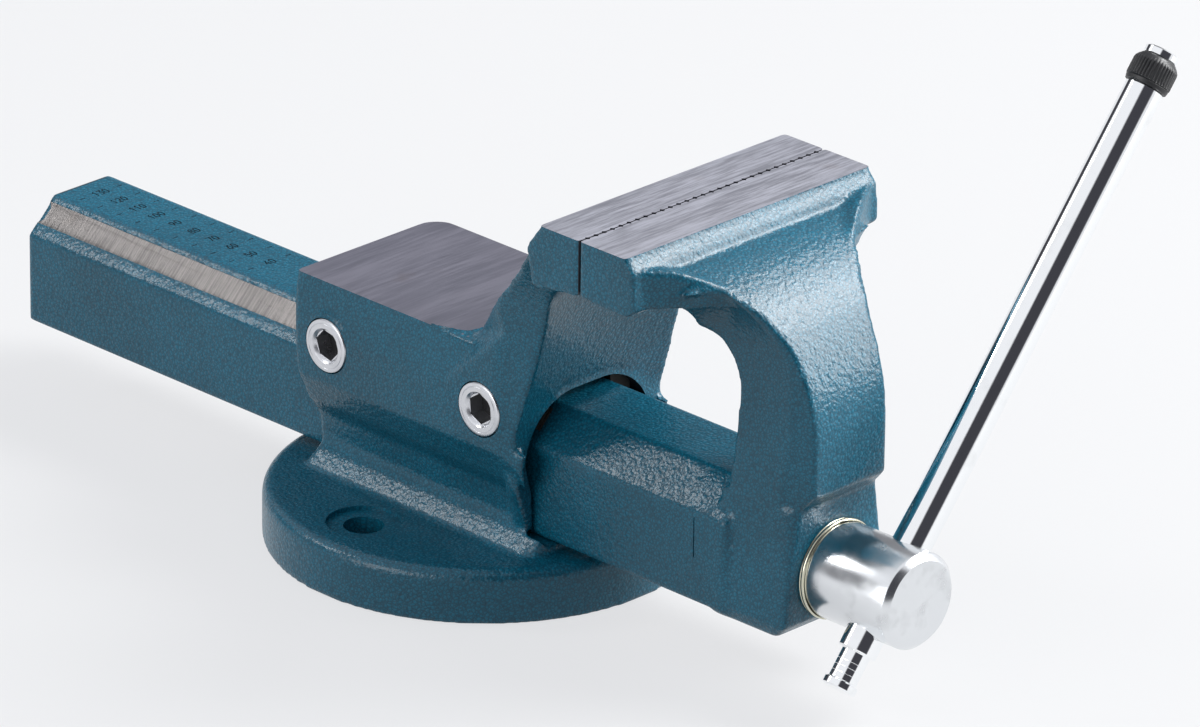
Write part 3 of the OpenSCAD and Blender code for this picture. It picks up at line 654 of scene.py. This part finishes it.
def body_with_round_foot():
    """The CAD body, with the front corners of its foot rounded."""
    o = from_bmesh("rough_body", welded("fixed_body"))
    r = 9 * MM
    waste = corner(-FOOT_X + r, FOOT_FRONT + r, r, 180) + [(-FOOT_X - 1.5 * MM, FOOT_FRONT - 2.5 * MM)]
    for s in (-1, 1):
        cut(o, prism([(s * -x, y) for x, y in waste], "z", BASE_TOP + 0.1 * MM, BASE_TOP + 18 * MM))
    return taken(o)


def body_plugs():
    """Fills the ground faces, the bores and the mouth, which are cut sharply into the smoothed skin."""
    big, small = 9 * MM, 1.5 * MM
    anvil = (anvil_front(1 * MM) + corner(ANVIL_X - big, ANVIL_REAR - big, big, 0)
             + corner(-ANVIL_X + small, ANVIL_REAR - small, small, 90))
    around_mouth = mirrored(in_mm([(30, 26), (36, 44), (36, 74), (24, 81)]))
    plugs = [
        block((-JAW_X, REAR_FACE, JAW_TOP - 6 * MM), (JAW_X, REAR_FACE + REAR_JAW_DEPTH, JAW_TOP + EXTRA)),
        prism(anvil, "z", ANVIL_Z - 4 * MM, ANVIL_Z + EXTRA),
    ]
    for node in ADJUSTERS:
        side, cy, cz, inner, face = adjuster_place(node)
        plugs.append(side_prism(circle(cy, cz, 11 * MM), side, inner, face - 0.5 * MM))
    for s in (-1, 1):
        plugs.append(prism(circle(s * BOLT_X, BOLT_Y, SPOT_R + 0.5 * MM), "z", 0.2 * MM, BASE_TOP))
    plugs.append(prism(around_mouth, "y", MOUTH_BACK - 8 * MM, MOUTH_BACK - 2.5 * MM))
    return plugs


def above_anvil():
    """All above the ground anvil face, up to the foot of the slope."""
    side, back = 45 * MM, 80 * MM
    plan = [(side, back), (-side, back), (-side, ANVIL_EDGE)] + anvil_front() + [(side, ANVIL_EDGE)]
    return prism(plan, "z", ANVIL_Z, ANVIL_Z + 12 * MM)


def rear_corner():
    """A wedge that rounds the anvil's rear corner and fades out downwards."""
    r = 9.5 * MM
    plan = (corner(ANVIL_X - r + 0.3 * MM, ANVIL_REAR - r + 0.2 * MM, r, 0)
            + [(ANVIL_X + 6 * MM, ANVIL_REAR + 6 * MM)])
    wedge = bmesh.new()
    top = [wedge.verts.new((x, y, ANVIL_Z + 1 * MM)) for x, y in plan]
    tip = wedge.verts.new((ANVIL_X + 4.5 * MM, ANVIL_REAR - 3 * MM, ANVIL_Z - 45 * MM))
    wedge.faces.new(top)
    for a, b in zip(top, top[1:] + top[:1]):
        wedge.faces.new((a, b, tip))
    bmesh.ops.recalc_face_normals(wedge, faces=wedge.faces)
    return wedge


def body_face(c, n):
    """The material of a face of the fixed body."""
    if on_jaw_top(c, n):
        return JAW_STEEL
    if n.z > 0.99 and abs(c.z - ANVIL_Z) < 0.01 * MM:
        return ANVIL_STEEL
    if n.y < -0.5 and c.z > JAW_TOP - FACE_HEIGHT and c.y < REAR_FACE + 1 * MM:
        return BORE_STEEL
    # The mouth's inside walls and floor get painted shade, for the deep narrow gap round the slide.
    in_mouth = (abs(c.x) < MOUTH_X + 0.2 * MM and MOUTH_LOW < c.z < MOUTH_TOP + 0.5 * MM
                and MOUTH_BACK - 6 * MM < c.y < MOUTH_BACK + 0.5 * MM)
    if in_mouth and (n.x * c.x < 0 or n.y < -0.7):
        return PAINTED_SHADE
    return PAINT


def finish_body():
    o = softened("fixed_body_skin", merge(body_with_round_foot(), *body_plugs()))
    cut(o, above_jaws())
    cut(o, above_anvil())
    cut(o, rear_corner())
    cut(o, block((-REACH, -REACH, -50 * MM), (REACH, REACH, 0.0)))
    for node in ADJUSTERS:
        side, cy, cz, inner, face = adjuster_place(node)
        cut(o, side_prism(circle(cy, cz, ADJUSTER_BORE_R), side, inner - 1 * MM, face + 5 * MM))
    for s in (-1, 1):
        cut(o, prism(circle(s * BOLT_X, BOLT_Y, BOLT_R), "z", -1 * MM, BASE_TOP + 10 * MM))
        cut(o, prism(circle(s * BOLT_X, BOLT_Y, SPOT_R), "z", BASE_TOP - SPOT_DEPTH, BASE_TOP + 10 * MM))
    cut(o, prism(mouth(), "y", MOUTH_BACK - 41 * MM, MOUTH_BACK))
    cut(o, grip_cutter(REAR_FACE, 1))
    shade(o)
    paint_faces(o, [PAINT, JAW_STEEL, ANVIL_STEEL, BORE_STEEL, PAINTED_SHADE], body_face)
    settle(o, "frame", "fixed_body")


# ---------------------------------------------------------------- opening scale
# The strokes of each figure, in shares of its width and height. A loop is its centre and half sizes.
DIGITS = {
    "0": [("loop", (0.3, 0.5, 0.27, 0.5))],
    "1": [("line", [(0.1, 0.78), (0.34, 1.0), (0.34, 0.0)])],
    "2": [("line", [(0.03, 0.76), (0.12, 0.94), (0.32, 1.0), (0.52, 0.92), (0.57, 0.74), (0.46, 0.5),
                    (0.03, 0.0), (0.6, 0.0)])],
    "3": [("line", [(0.04, 1.0), (0.56, 1.0), (0.28, 0.6), (0.5, 0.5), (0.58, 0.28), (0.47, 0.07),
                    (0.26, 0.0), (0.03, 0.1)])],
    "4": [("line", [(0.42, 1.0), (0.02, 0.3), (0.62, 0.3)]), ("line", [(0.43, 0.62), (0.43, 0.0)])],
    "5": [("line", [(0.54, 1.0), (0.1, 1.0), (0.07, 0.56), (0.32, 0.62), (0.52, 0.52), (0.58, 0.3),
                    (0.47, 0.07), (0.26, 0.0), (0.03, 0.09)])],
    "6": [("loop", (0.3, 0.3, 0.26, 0.3)), ("line", [(0.47, 1.0), (0.2, 0.72), (0.06, 0.4)])],
    "7": [("line", [(0.02, 1.0), (0.58, 1.0), (0.22, 0.0)])],
    "8": [("loop", (0.3, 0.27, 0.27, 0.27)), ("loop", (0.3, 0.77, 0.22, 0.23))],
    "9": [("loop", (0.3, 0.7, 0.26, 0.3)), ("line", [(0.54, 0.6), (0.4, 0.28), (0.13, 0.0)])],
}
FIGURE_HIGH, FIGURE_WIDE, FIGURE_LINE = 3.5 * MM, 3.0 * MM, 0.55 * MM
FIGURE_INK, FIGURE_STEP = 0.6 * FIGURE_WIDE, 0.8 * FIGURE_WIDE    # the width a figure fills, and its place
MARK_X, MARK_LONG, MARK_WIDE = 9.2 * MM, 2.6 * MM, 0.5 * MM
NUMBER_STEP = 10 * MM


def figure_points(kind, shape, x0, y0):
    """The points of one stroke of a figure whose lower left corner is at (x0, y0)."""
    if kind == "loop":
        cx, cy, rx, ry = shape
        shape = [(cx + rx * math.cos(math.tau * q / 16), cy + ry * math.sin(math.tau * q / 16))
                 for q in range(16)]
    return [(x0 + x * FIGURE_WIDE, y0 + y * FIGURE_HIGH) for x, y in shape]


def scale_cutters():
    """The stamped opening scale: numbers in tens that count down towards the jaws, a mark on each side.

    Strokes of a figure that touch go into two cutters, because each cutter has to be a clean solid."""
    cutters = [bmesh.new(), bmesh.new()]
    low, high = SLIDE_TOP - SCALE_DEPTH, SLIDE_TOP + 1 * MM
    for i, number in enumerate(range(130, 30, -10)):
        text = str(number)
        cy = SLIDE_END - 10.9 * MM - i * NUMBER_STEP
        x0 = -((len(text) - 1) * FIGURE_STEP + FIGURE_INK) / 2
        for k, figure in enumerate(text):
            for cutter, (kind, shape) in zip(cutters, DIGITS[figure]):
                points = figure_points(kind, shape, x0 + k * FIGURE_STEP, cy - FIGURE_HIGH / 2)
                merge(cutter, stroke_solid(points, FIGURE_LINE, low, high, kind == "loop"))
        for x in (-MARK_X, MARK_X):
            merge(cutters[0], block((x - MARK_LONG / 2, cy - MARK_WIDE / 2, low),
                                    (x + MARK_LONG / 2, cy + MARK_WIDE / 2, high)))
    return cutters


# ---------------------------------------------------------------- sliding jaw
# The ridge where the arm spreads to the jaw's end (x, y, z in mm): its crest, from the end inwards, its
# foot below, and points inside the arm.
RIDGE_CREST = [(58, -131, 157), (50, -134, 157), (44, -138.5, 155.5), (37, -142, 152.3), (28, -149, 146.8)]
RIDGE_FOOT = [(58, -131, 143), (46, -135, 143), (37, -141, 141.5), (28, -148, 140)]
RIDGE_INNER = [(34, -129, 151), (24, -146, 146), (34, -129, 143)]


def spread(side):
    """The raised ridge where the arm spreads out to one end of the jaw."""
    bm = bmesh.new()
    for x, y, z in in_mm(RIDGE_CREST + RIDGE_FOOT + RIDGE_INNER):
        bm.verts.new((side * x, y, z))
    inside = bmesh.ops.convex_hull(bm, input=bm.verts)["geom_interior"]
    bmesh.ops.delete(bm, geom=[g for g in inside if isinstance(g, bmesh.types.BMVert)], context="VERTS")
    bmesh.ops.recalc_face_normals(bm, faces=bm.faces)
    return bm


def web_slab(k):
    """Slab k of the fillet under the arm's spread: each is further forward and a little higher."""
    step, rise, steps = 1.5 * MM, 0.9 * MM, 8
    y = -127 * MM - k * step
    axis_z = WEB_Z + k * rise
    arm_top = ARM_Z + math.sqrt(ARM_R ** 2 - (y - step - ARM_Y) ** 2)
    throat_top = THROAT_Z + 0.3 * MM + math.sqrt(max(0, THROAT_R ** 2 - (y - THROAT_Y) ** 2))
    high = min(axis_z + WEB_R - 0.1 * MM, arm_top - 0.6 * MM)
    low = max(axis_z, throat_top)
    heights = [low + (high - low) * q / steps for q in range(steps + 1)]
    edge = [(WEB_X - math.sqrt(WEB_R ** 2 - (z - axis_z) ** 2), z) for z in heights]
    return prism(mirrored(edge), "y", y - step - 0.1 * MM, y)


def round_pad():
    """The low round pad on the left chamfer, at the arm's foot."""
    centre = Vector((-20.4 * MM, -130.5 * MM, 63.6 * MM))
    r, inside, proud = 6.5 * MM, 4 * MM, 0.35 * MM
    return lathe([(-inside, 0), (-inside, r), (proud, r), (proud, 0)], centre, (-DIAGONAL, 0, DIAGONAL), 40)


def slit():
    """The short upright slit in the left side, at the arm's foot."""
    depth, wide, y, low, high = 0.4 * MM, 0.5 * MM, -129.5 * MM, 41 * MM, 56 * MM
    return block((-SLIDE_X - depth, y, low), (-SLIDE_X + depth, y + wide, high))


def strip_cutter(side):
    """The milled guide strip on one chamfer of the slide."""
    sunk = STRIP_DEPTH * DIAGONAL
    middle = (side * (STRIP_X - sunk), STRIP_Z - sunk)
    along, out = (side * DIAGONAL, -DIAGONAL), (side * DIAGONAL, DIAGONAL)
    corners = [(-STRIP_HALF, 0), (STRIP_HALF, 0), (STRIP_HALF, 3 * MM), (-STRIP_HALF, 3 * MM)]
    outline = [(middle[0] + a * along[0] + b * out[0], middle[1] + a * along[1] + b * out[1])
               for a, b in corners]
    return prism(outline, "y", STRIP_START, SLIDE_END + 10 * MM)


def slide_face(c, n):
    """The material of a face of the sliding jaw."""
    if on_jaw_top(c, n):
        return JAW_STEEL
    off_strip = abs(c.x) + c.z - (STRIP_X + STRIP_Z) + STRIP_DEPTH / DIAGONAL
    tilted = abs(abs(n.x) - DIAGONAL) < 0.02 and n.z > 0.6
    if tilted and c.y > STRIP_START - 0.1 * MM and abs(off_strip) < 0.03 * MM:
        return STRIP_STEEL
    if n.y > 0.5 and c.z > JAW_TOP - FACE_HEIGHT and c.y > FRONT_FACE - 1 * MM:
        return BORE_STEEL
    below_top = SLIDE_TOP - c.z
    if 0.05 * MM < below_top < SCALE_DEPTH + 0.01 * MM and abs(c.x) < 12 * MM and c.y > SCALE_START:
        return STAMP
    return PAINT


def finish_slide():
    bm = merge(welded("sliding_jaw"), *[web_slab(k) for k in range(16)])
    jaw_plug = block((-JAW_X, FRONT_FACE - FRONT_JAW_DEPTH, JAW_TOP - 5 * MM),
                     (JAW_X, FRONT_FACE, JAW_TOP + EXTRA))
    merge(bm, spread(-1), spread(1), jaw_plug, round_pad())
    o = softened("sliding_jaw_skin", bm)
    cut(o, above_jaws())
    cut(o, block((-REACH, SLIDE_END, -REACH / 2), (REACH, SLIDE_END + 50 * MM, REACH)))
    for side in (-1, 1):
        cut(o, strip_cutter(side))
    cut(o, block((-13 * MM, SCALE_START, SLIDE_TOP), (13 * MM, SLIDE_END + 10 * MM, SLIDE_TOP + 4 * MM)))
    for cutter in scale_cutters():
        cut(o, cutter)
    cut(o, slit())
    cut(o, grip_cutter(FRONT_FACE, -1))
    shade(o)
    paint_faces(o, [PAINT, JAW_STEEL, STRIP_STEEL, BORE_STEEL, STAMP], slide_face)
    settle(o, "moving_jaw", "sliding_jaw")


# ---------------------------------------------------------------- tommy bar and its ring
def bar_line():
    """A point on the bar's axis, at the spindle, and the axis from the lower end to the upper one."""
    low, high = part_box("tommy_bar")
    axis = -Vector(next(j["axis"] for j in frame["joints"] if j["name"] == "bar_slide")).normalized()
    return Vector((0, (low.y + high.y) / 2, SPINDLE_Z)), axis


def ends_along(node, centre, axis):
    """How far along an axis a CAD node begins and ends."""
    along = [(v.co - centre).dot(axis) for v in frame["nodes"][node].data.vertices]
    return min(along), max(along)


def finish_bar(centre, axis):
    """The bar: a flange, a groove and a shoulder at each end, and tool marks in the lower groove."""
    start, stop = ends_along("tommy_bar", centre, axis)
    flange_l, groove_end = 3 * MM, 14 * MM
    edge, fillet, mark = 0.4 * MM, 0.3 * MM, 0.12 * MM
    flange = [(0, 0), (0, BAR_FLANGE_R - 0.7 * MM), (0.5 * MM, BAR_FLANGE_R),
              (flange_l - edge, BAR_FLANGE_R), (flange_l, BAR_FLANGE_R - edge),
              (flange_l, BAR_GROOVE_R + fillet), (flange_l + fillet, BAR_GROOVE_R)]
    shoulder = [(groove_end - fillet, BAR_GROOVE_R), (groove_end, BAR_GROOVE_R + fillet),
                (groove_end, BAR_R - 0.5 * MM), (groove_end + 0.5 * MM, BAR_R)]
    marks = []
    for t in (5.4 * MM, 7.6 * MM, 9.8 * MM):
        marks += [(t, BAR_GROOVE_R), (t + mark, BAR_GROOVE_R - 0.1 * MM), (t + 2 * mark, BAR_GROOVE_R)]
    rings = ([(start + t, r) for t, r in flange + marks + shoulder]
             + [(stop - t, r) for t, r in reversed(flange + shoulder)])
    finish("tommy_bar_skin", lathe(rings, centre, axis, 128), CHROME, "handle", "tommy_bar",
           angle=25)


def finish_end_ring(centre, axis):
    """The black ring on the bar's upper end, with ribs between its two rims."""
    start, stop = ends_along("bar_end_ring", centre, axis)
    bore, rib_count, rib_depth = 5.27 * MM, 40, 0.42 * MM
    ribs_low, ribs_high = start + 2 * MM, start + 9 * MM
    outside = [(0, 7.2), (0.25, 7.7), (1.5, 8.0), (1.75, 7.85), (2.0, 8.15), (2.4, 8.25), (8.0, 8.25),
               (8.8, 8.0), (9.8, 7.3), (10.5, 6.6), (10.9, 6.2)]
    rings = [(start, bore)] + [(start + t, r) for t, r in in_mm(outside)]
    rings += [(stop, 6.0 * MM), (stop, bore), (start, bore)]

    def ribs(t, angle):
        fade = min(1.0, max(0.0, (t - ribs_low) / (0.5 * MM)), max(0.0, (ribs_high - t) / (1.0 * MM)))
        return -rib_depth * fade * (0.5 - 0.5 * math.cos(angle * rib_count)) ** 2
    finish("bar_end_ring_skin", lathe(rings, centre, axis, 320, ribs), RUBBER, "handle",
           "bar_end_ring", angle=40)


# ---------------------------------------------------------------- spindle
# Outlines from the head's front on: distance and radius in mm.
HEAD_OUTLINE = [(0, 0), (0, 3.0), (0.12, 5.0), (0.12, 6.5), (0, 8.0), (0, 15.2), (0.25, 15.6), (1.75, 17.1),
                (2.1, 17.4), (2.6, 17.5), (36.8, 17.5), (37.4, 17.35), (37.9, 16.6), (38, 13)]
JOURNAL_OUTLINE = [(65.05, 13), (65.05, 11.5), (67.15, 11.5), (67.15, 13), (69, 13), (71, 11.2), (71, 0)]


def head_and_journal(front, centre, axis):
    """The round head with the hole for the bar, and the journal with its ring groove."""
    o = from_bmesh("spindle_skin", lathe(in_mm(HEAD_OUTLINE + JOURNAL_OUTLINE), (0, front, SPINDLE_Z),
                                         (0, 1, 0), 128))
    reach, bore = 40 * MM, BAR_R + 0.15 * MM
    cut(o, lathe([(-reach, 0), (-reach, bore), (reach, bore), (reach, 0)], centre, axis, 64))
    return taken(o)


def thread(start, stop):
    """A helical thread with flat crests and roots, fading out at both ends."""
    lead, crest, root, count, per = 5 * MM, 12.0 * MM, 10.2 * MM, 40, 10
    wave = (1.0, 1.0, 1.0, 1.0, 0.5, 0.0, 0.0, 0.0, 0.0, 0.5)    # a turn's height, in per steps of the lead
    last = int((stop - start) / lead * per)
    bm = bmesh.new()
    rows = []
    for j in range(last + 1):
        y = start + (stop - start) * j / last
        share = 0.15 + 0.85 * min(1.0, j / 12, (last - j) / 6)
        row = []
        for i in range(count):
            phase = (j - per * i / count) % per
            k = int(phase)
            height = wave[k] + (wave[(k + 1) % per] - wave[k]) * (phase - k)
            r = root + (crest - root) * height * share
            angle = math.tau * i / count
            row.append(bm.verts.new((r * math.cos(angle), y, SPINDLE_Z + r * math.sin(angle))))
        rows.append(row)
    for one, two in zip(rows, rows[1:]):
        for i in range(count):
            k = (i + 1) % count
            bm.faces.new((one[i], one[k], two[k], two[i]))
    bm.faces.new(rows[0])
    bm.faces.new(rows[-1])
    return bm


def tail(start, end):
    """The plain tail with the hole for the end pin."""
    r, r_tip = 9 * MM, 8 * MM
    o = from_bmesh("tail", lathe([(start, 0), (start, r), (end - 1 * MM, r), (end, r_tip), (end, 0)],
                                 (0, 0, SPINDLE_Z), (0, 1, 0), 64))
    low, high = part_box("end_pin")
    pin_hole = circle(0, (low.y + high.y) / 2, 2.02 * MM, 32)
    cut(o, prism(pin_hole, "z", SPINDLE_Z - 12 * MM, SPINDLE_Z + 12 * MM))
    return taken(o)


def finish_spindle(centre, axis):
    low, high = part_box("spindle")
    thread_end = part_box("end_washer")[0].y - 0.05 * MM
    bm = merge(head_and_journal(low.y, centre, axis), thread(low.y + 70.5 * MM, thread_end),
               tail(thread_end - 0.5 * MM, high.y))
    finish("spindle_skin", bm, HEAD, "screw", "spindle")


def finish_collar():
    """The collar: a flange with a rounded rim and a sleeve in the boss."""
    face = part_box("spindle_collar")[0].y
    bore, sleeve = 13.05, 15.5
    front = [(1.9, bore), (0.2, bore), (0.05, 13.4), (0.05, 15.0), (0.3, 16.4), (0.55, 16.6)]
    rim = rounded(0.85, 17.45, 0.85, 180, 20, 8)[1:]
    back = [(1.95, 18.0), (1.95, sleeve), (15.75, sleeve), (15.75, bore), (1.9, bore)]
    finish("spindle_collar_skin", lathe(in_mm(front + rim + back), (0, face, SPINDLE_Z), (0, 1, 0), 128),
           YELLOW, "moving_jaw", "spindle_collar", angle=35)


# ---------------------------------------------------------------- adjusting screws
# Outline of the visible end, from the face on: distance and radius in mm.
ADJUSTER_OUTLINE = [(-0.7, 10.0), (-0.2, 9.75), (0, 9.3), (0, 8.55), (-0.12, 8.45), (-0.12, 8.3), (0, 8.2),
                    (0, 6.6), (-0.35, 6.2), (-1.2, 5.6), (-1.2, 0)]
ADJUSTER_R, SOCKET_FLATS, SOCKET_DEPTH = 10.0 * MM, 10 * MM, 7 * MM


def finish_adjuster(node):
    side, cy, cz, inner, face = adjuster_place(node)
    rings = [(inner, 0), (inner, ADJUSTER_R)] + [(face + t, r) for t, r in in_mm(ADJUSTER_OUTLINE)]
    o = from_bmesh(node + "_skin", lathe(rings, (0, cy, cz), (side, 0, 0), 96))
    turn = math.radians(12 if node.endswith("rear") else 25)
    hexagon = circle(cy, cz, SOCKET_FLATS / math.sqrt(3), 6, turn)
    cut(o, side_prism(hexagon, side, face - SOCKET_DEPTH, face + 1 * MM))
    shade(o, 25)
    plate = turned(node + "_plate", (0.66, 0.67, 0.70), (0, cy, cz), (1, 0, 0), 0.26)

    # The deep floors of the hex socket get painted shade.
    def socket_floor(c, n):
        deep = inner + 1 * MM < abs(c.x) < face - SOCKET_DEPTH + 0.5 * MM
        return PAINTED_SHADE if deep and abs(n.x) > 0.9 else plate
    paint_faces(o, [plate, PAINTED_SHADE], socket_floor)
    settle(o, "frame", node)


# ---------------------------------------------------------------- all pieces
finish_body()
finish_slide()
finish_bar(*bar_line())
finish_end_ring(*bar_line())
finish_spindle(*bar_line())
finish_collar()
for node in ADJUSTERS:
    finish_adjuster(node)

# CAD nodes that stay as they are and only get a material
DRESSED = {
    "thrust_washer": STEEL, "retaining_ring": BLACK, "spindle_nut": BRONZE, "nut_screws": BLACK,
    "nut_washers": ZINC, "bar_grip_ring": RUBBER, "end_washer": STEEL, "end_pin": STEEL,
    # the gibs get the brass darkened as painted shade
    "gib_left": SHADED_BRASS, "gib_right": SHADED_BRASS,
}
for node, material in DRESSED.items():
    mesh = frame["nodes"][node].data
    mesh.materials.clear()
    mesh.materials.append(material)


# ---------------------------------------------------------------- studio
# Dark parts of the room: direction, half angles in degrees where it begins and is full, and depth.
DARK_ZONES = [
    ((-0.30, -0.88, 0.36), 38, 27, 1.0),             # in front of the handle
    ((-0.70, 0.66, 0.30), 17, 8, 0.8),               # left, beyond the slide's tail
    ((FORWARD.x, FORWARD.y, 0.40), 32, 14, 0.75),    # opposite the camera
    ((-0.15, 0.95, 0.25), 18, 9, 1.0),               # behind the slide's tail
]
ROOM, ROOM_DARK = (0.88, 0.89, 0.92, 1), (0.05, 0.05, 0.06, 1)
# Lamps: name, place, width and height, power in watts
LAMPS = [
    ("key", (1.6, -1.35, 1.0), (1.15, 1.9), 72),
    ("high", (1.5, -0.85, 1.75), (1.3, 0.85), 38),
    ("left", (-1.9, 0.2, 0.6), (1.2, 1.0), 14),
    ("glint", (-0.9, 1.3, 1.2), (0.4, 0.4), 6),
]
LAMP_TARGET = Vector((0, -0.05, 0.08))


def seen(t):
    """1 for rays from the camera, a mirror or glass."""
    path = t.nodes.new("ShaderNodeLightPath")
    last = path.outputs["Is Camera Ray"]
    for name in ("Is Glossy Ray", "Is Transmission Ray"):
        m = t.nodes.new("ShaderNodeMath")
        m.operation = "MAXIMUM"
        t.links.new(last, m.inputs[0])
        t.links.new(path.outputs[name], m.inputs[1])
        last = m.outputs[0]
    return last


def pale(name, colour, glow):
    """Plain pale floor that keeps a soft shadow, shown a little brighter than it is lit."""
    mat = bpy.data.materials.new(name)
    mat.use_nodes = True
    t = mat.node_tree
    t.nodes.clear()
    out = t.nodes.new("ShaderNodeOutputMaterial")
    diffuse = t.nodes.new("ShaderNodeBsdfDiffuse")
    diffuse.inputs[0].default_value = (*colour, 1)
    light = t.nodes.new("ShaderNodeEmission")
    light.inputs[0].default_value = (*glow, 1)
    t.links.new(seen(t), light.inputs[1])
    add = t.nodes.new("ShaderNodeAddShader")
    t.links.new(diffuse.outputs[0], add.inputs[0])
    t.links.new(light.outputs[0], add.inputs[1])
    t.links.new(add.outputs[0], out.inputs[0])
    return mat


def dark_zone(t, direction, below, middle, wide, narrow, share):
    """Darkens the room around one direction; below is the room's colour so far, an output or None."""
    dot = t.nodes.new("ShaderNodeVectorMath")
    dot.operation = "DOT_PRODUCT"
    t.links.new(direction, dot.inputs[0])
    dot.inputs[1].default_value = tuple(Vector(middle).normalized())
    ramp = t.nodes.new("ShaderNodeMapRange")
    ramp.interpolation_type = "SMOOTHSTEP"
    t.links.new(dot.outputs["Value"], ramp.inputs["Value"])
    ramp.inputs["From Min"].default_value = math.cos(math.radians(wide))
    ramp.inputs["From Max"].default_value = math.cos(math.radians(narrow))
    ramp.inputs["To Max"].default_value = share
    tone = t.nodes.new("ShaderNodeMix")
    tone.data_type = "RGBA"
    t.links.new(ramp.outputs[0], tone.inputs[0])
    tone.inputs[6].default_value = ROOM
    if below is not None:
        t.links.new(below, tone.inputs[6])
    tone.inputs[7].default_value = ROOM_DARK
    return tone.outputs[2]


def sky():
    """A pale room with dark zones for the camera and for reflections, and an even light on the rest."""
    world = bpy.data.worlds.new("world")
    scene.world = world
    world.use_nodes = True
    t = world.node_tree
    t.nodes.clear()
    out = t.nodes.new("ShaderNodeOutputWorld")
    direction = t.nodes.new("ShaderNodeTexCoord").outputs["Generated"]
    room = None
    for zone in DARK_ZONES:
        room = dark_zone(t, direction, room, *zone)
    shown = t.nodes.new("ShaderNodeBackground")
    t.links.new(room, shown.inputs[0])
    lit = t.nodes.new("ShaderNodeBackground")
    lit.inputs[0].default_value = (0.75, 0.80, 0.88, 1)
    lit.inputs[1].default_value = 0.62
    mix = t.nodes.new("ShaderNodeMixShader")
    t.links.new(seen(t), mix.inputs[0])
    t.links.new(lit.outputs[0], mix.inputs[1])
    t.links.new(shown.outputs[0], mix.inputs[2])
    t.links.new(mix.outputs[0], out.inputs[0])


def lamp(name, place, size, power):
    data = bpy.data.lights.new(name, "AREA")
    data.shape = "RECTANGLE"
    data.size, data.size_y = size
    data.energy = power
    o = bpy.data.objects.new(name, data)
    o.location = place
    o.rotation_euler = (LAMP_TARGET - Vector(place)).to_track_quat("-Z", "Y").to_euler()
    scene.collection.objects.link(o)


def studio():
    bpy.ops.mesh.primitive_plane_add(size=30, location=(0, 0, cad_box[0][2] - 0.2 * MM))
    floor = bpy.context.object
    floor.name = "floor"
    floor.data.materials.append(pale("floor", (0.16, 0.16, 0.158), (0.666, 0.670, 0.685)))
    sky()
    for values in LAMPS:
        lamp(*values)


studio()
scene.view_settings.view_transform = "Standard"
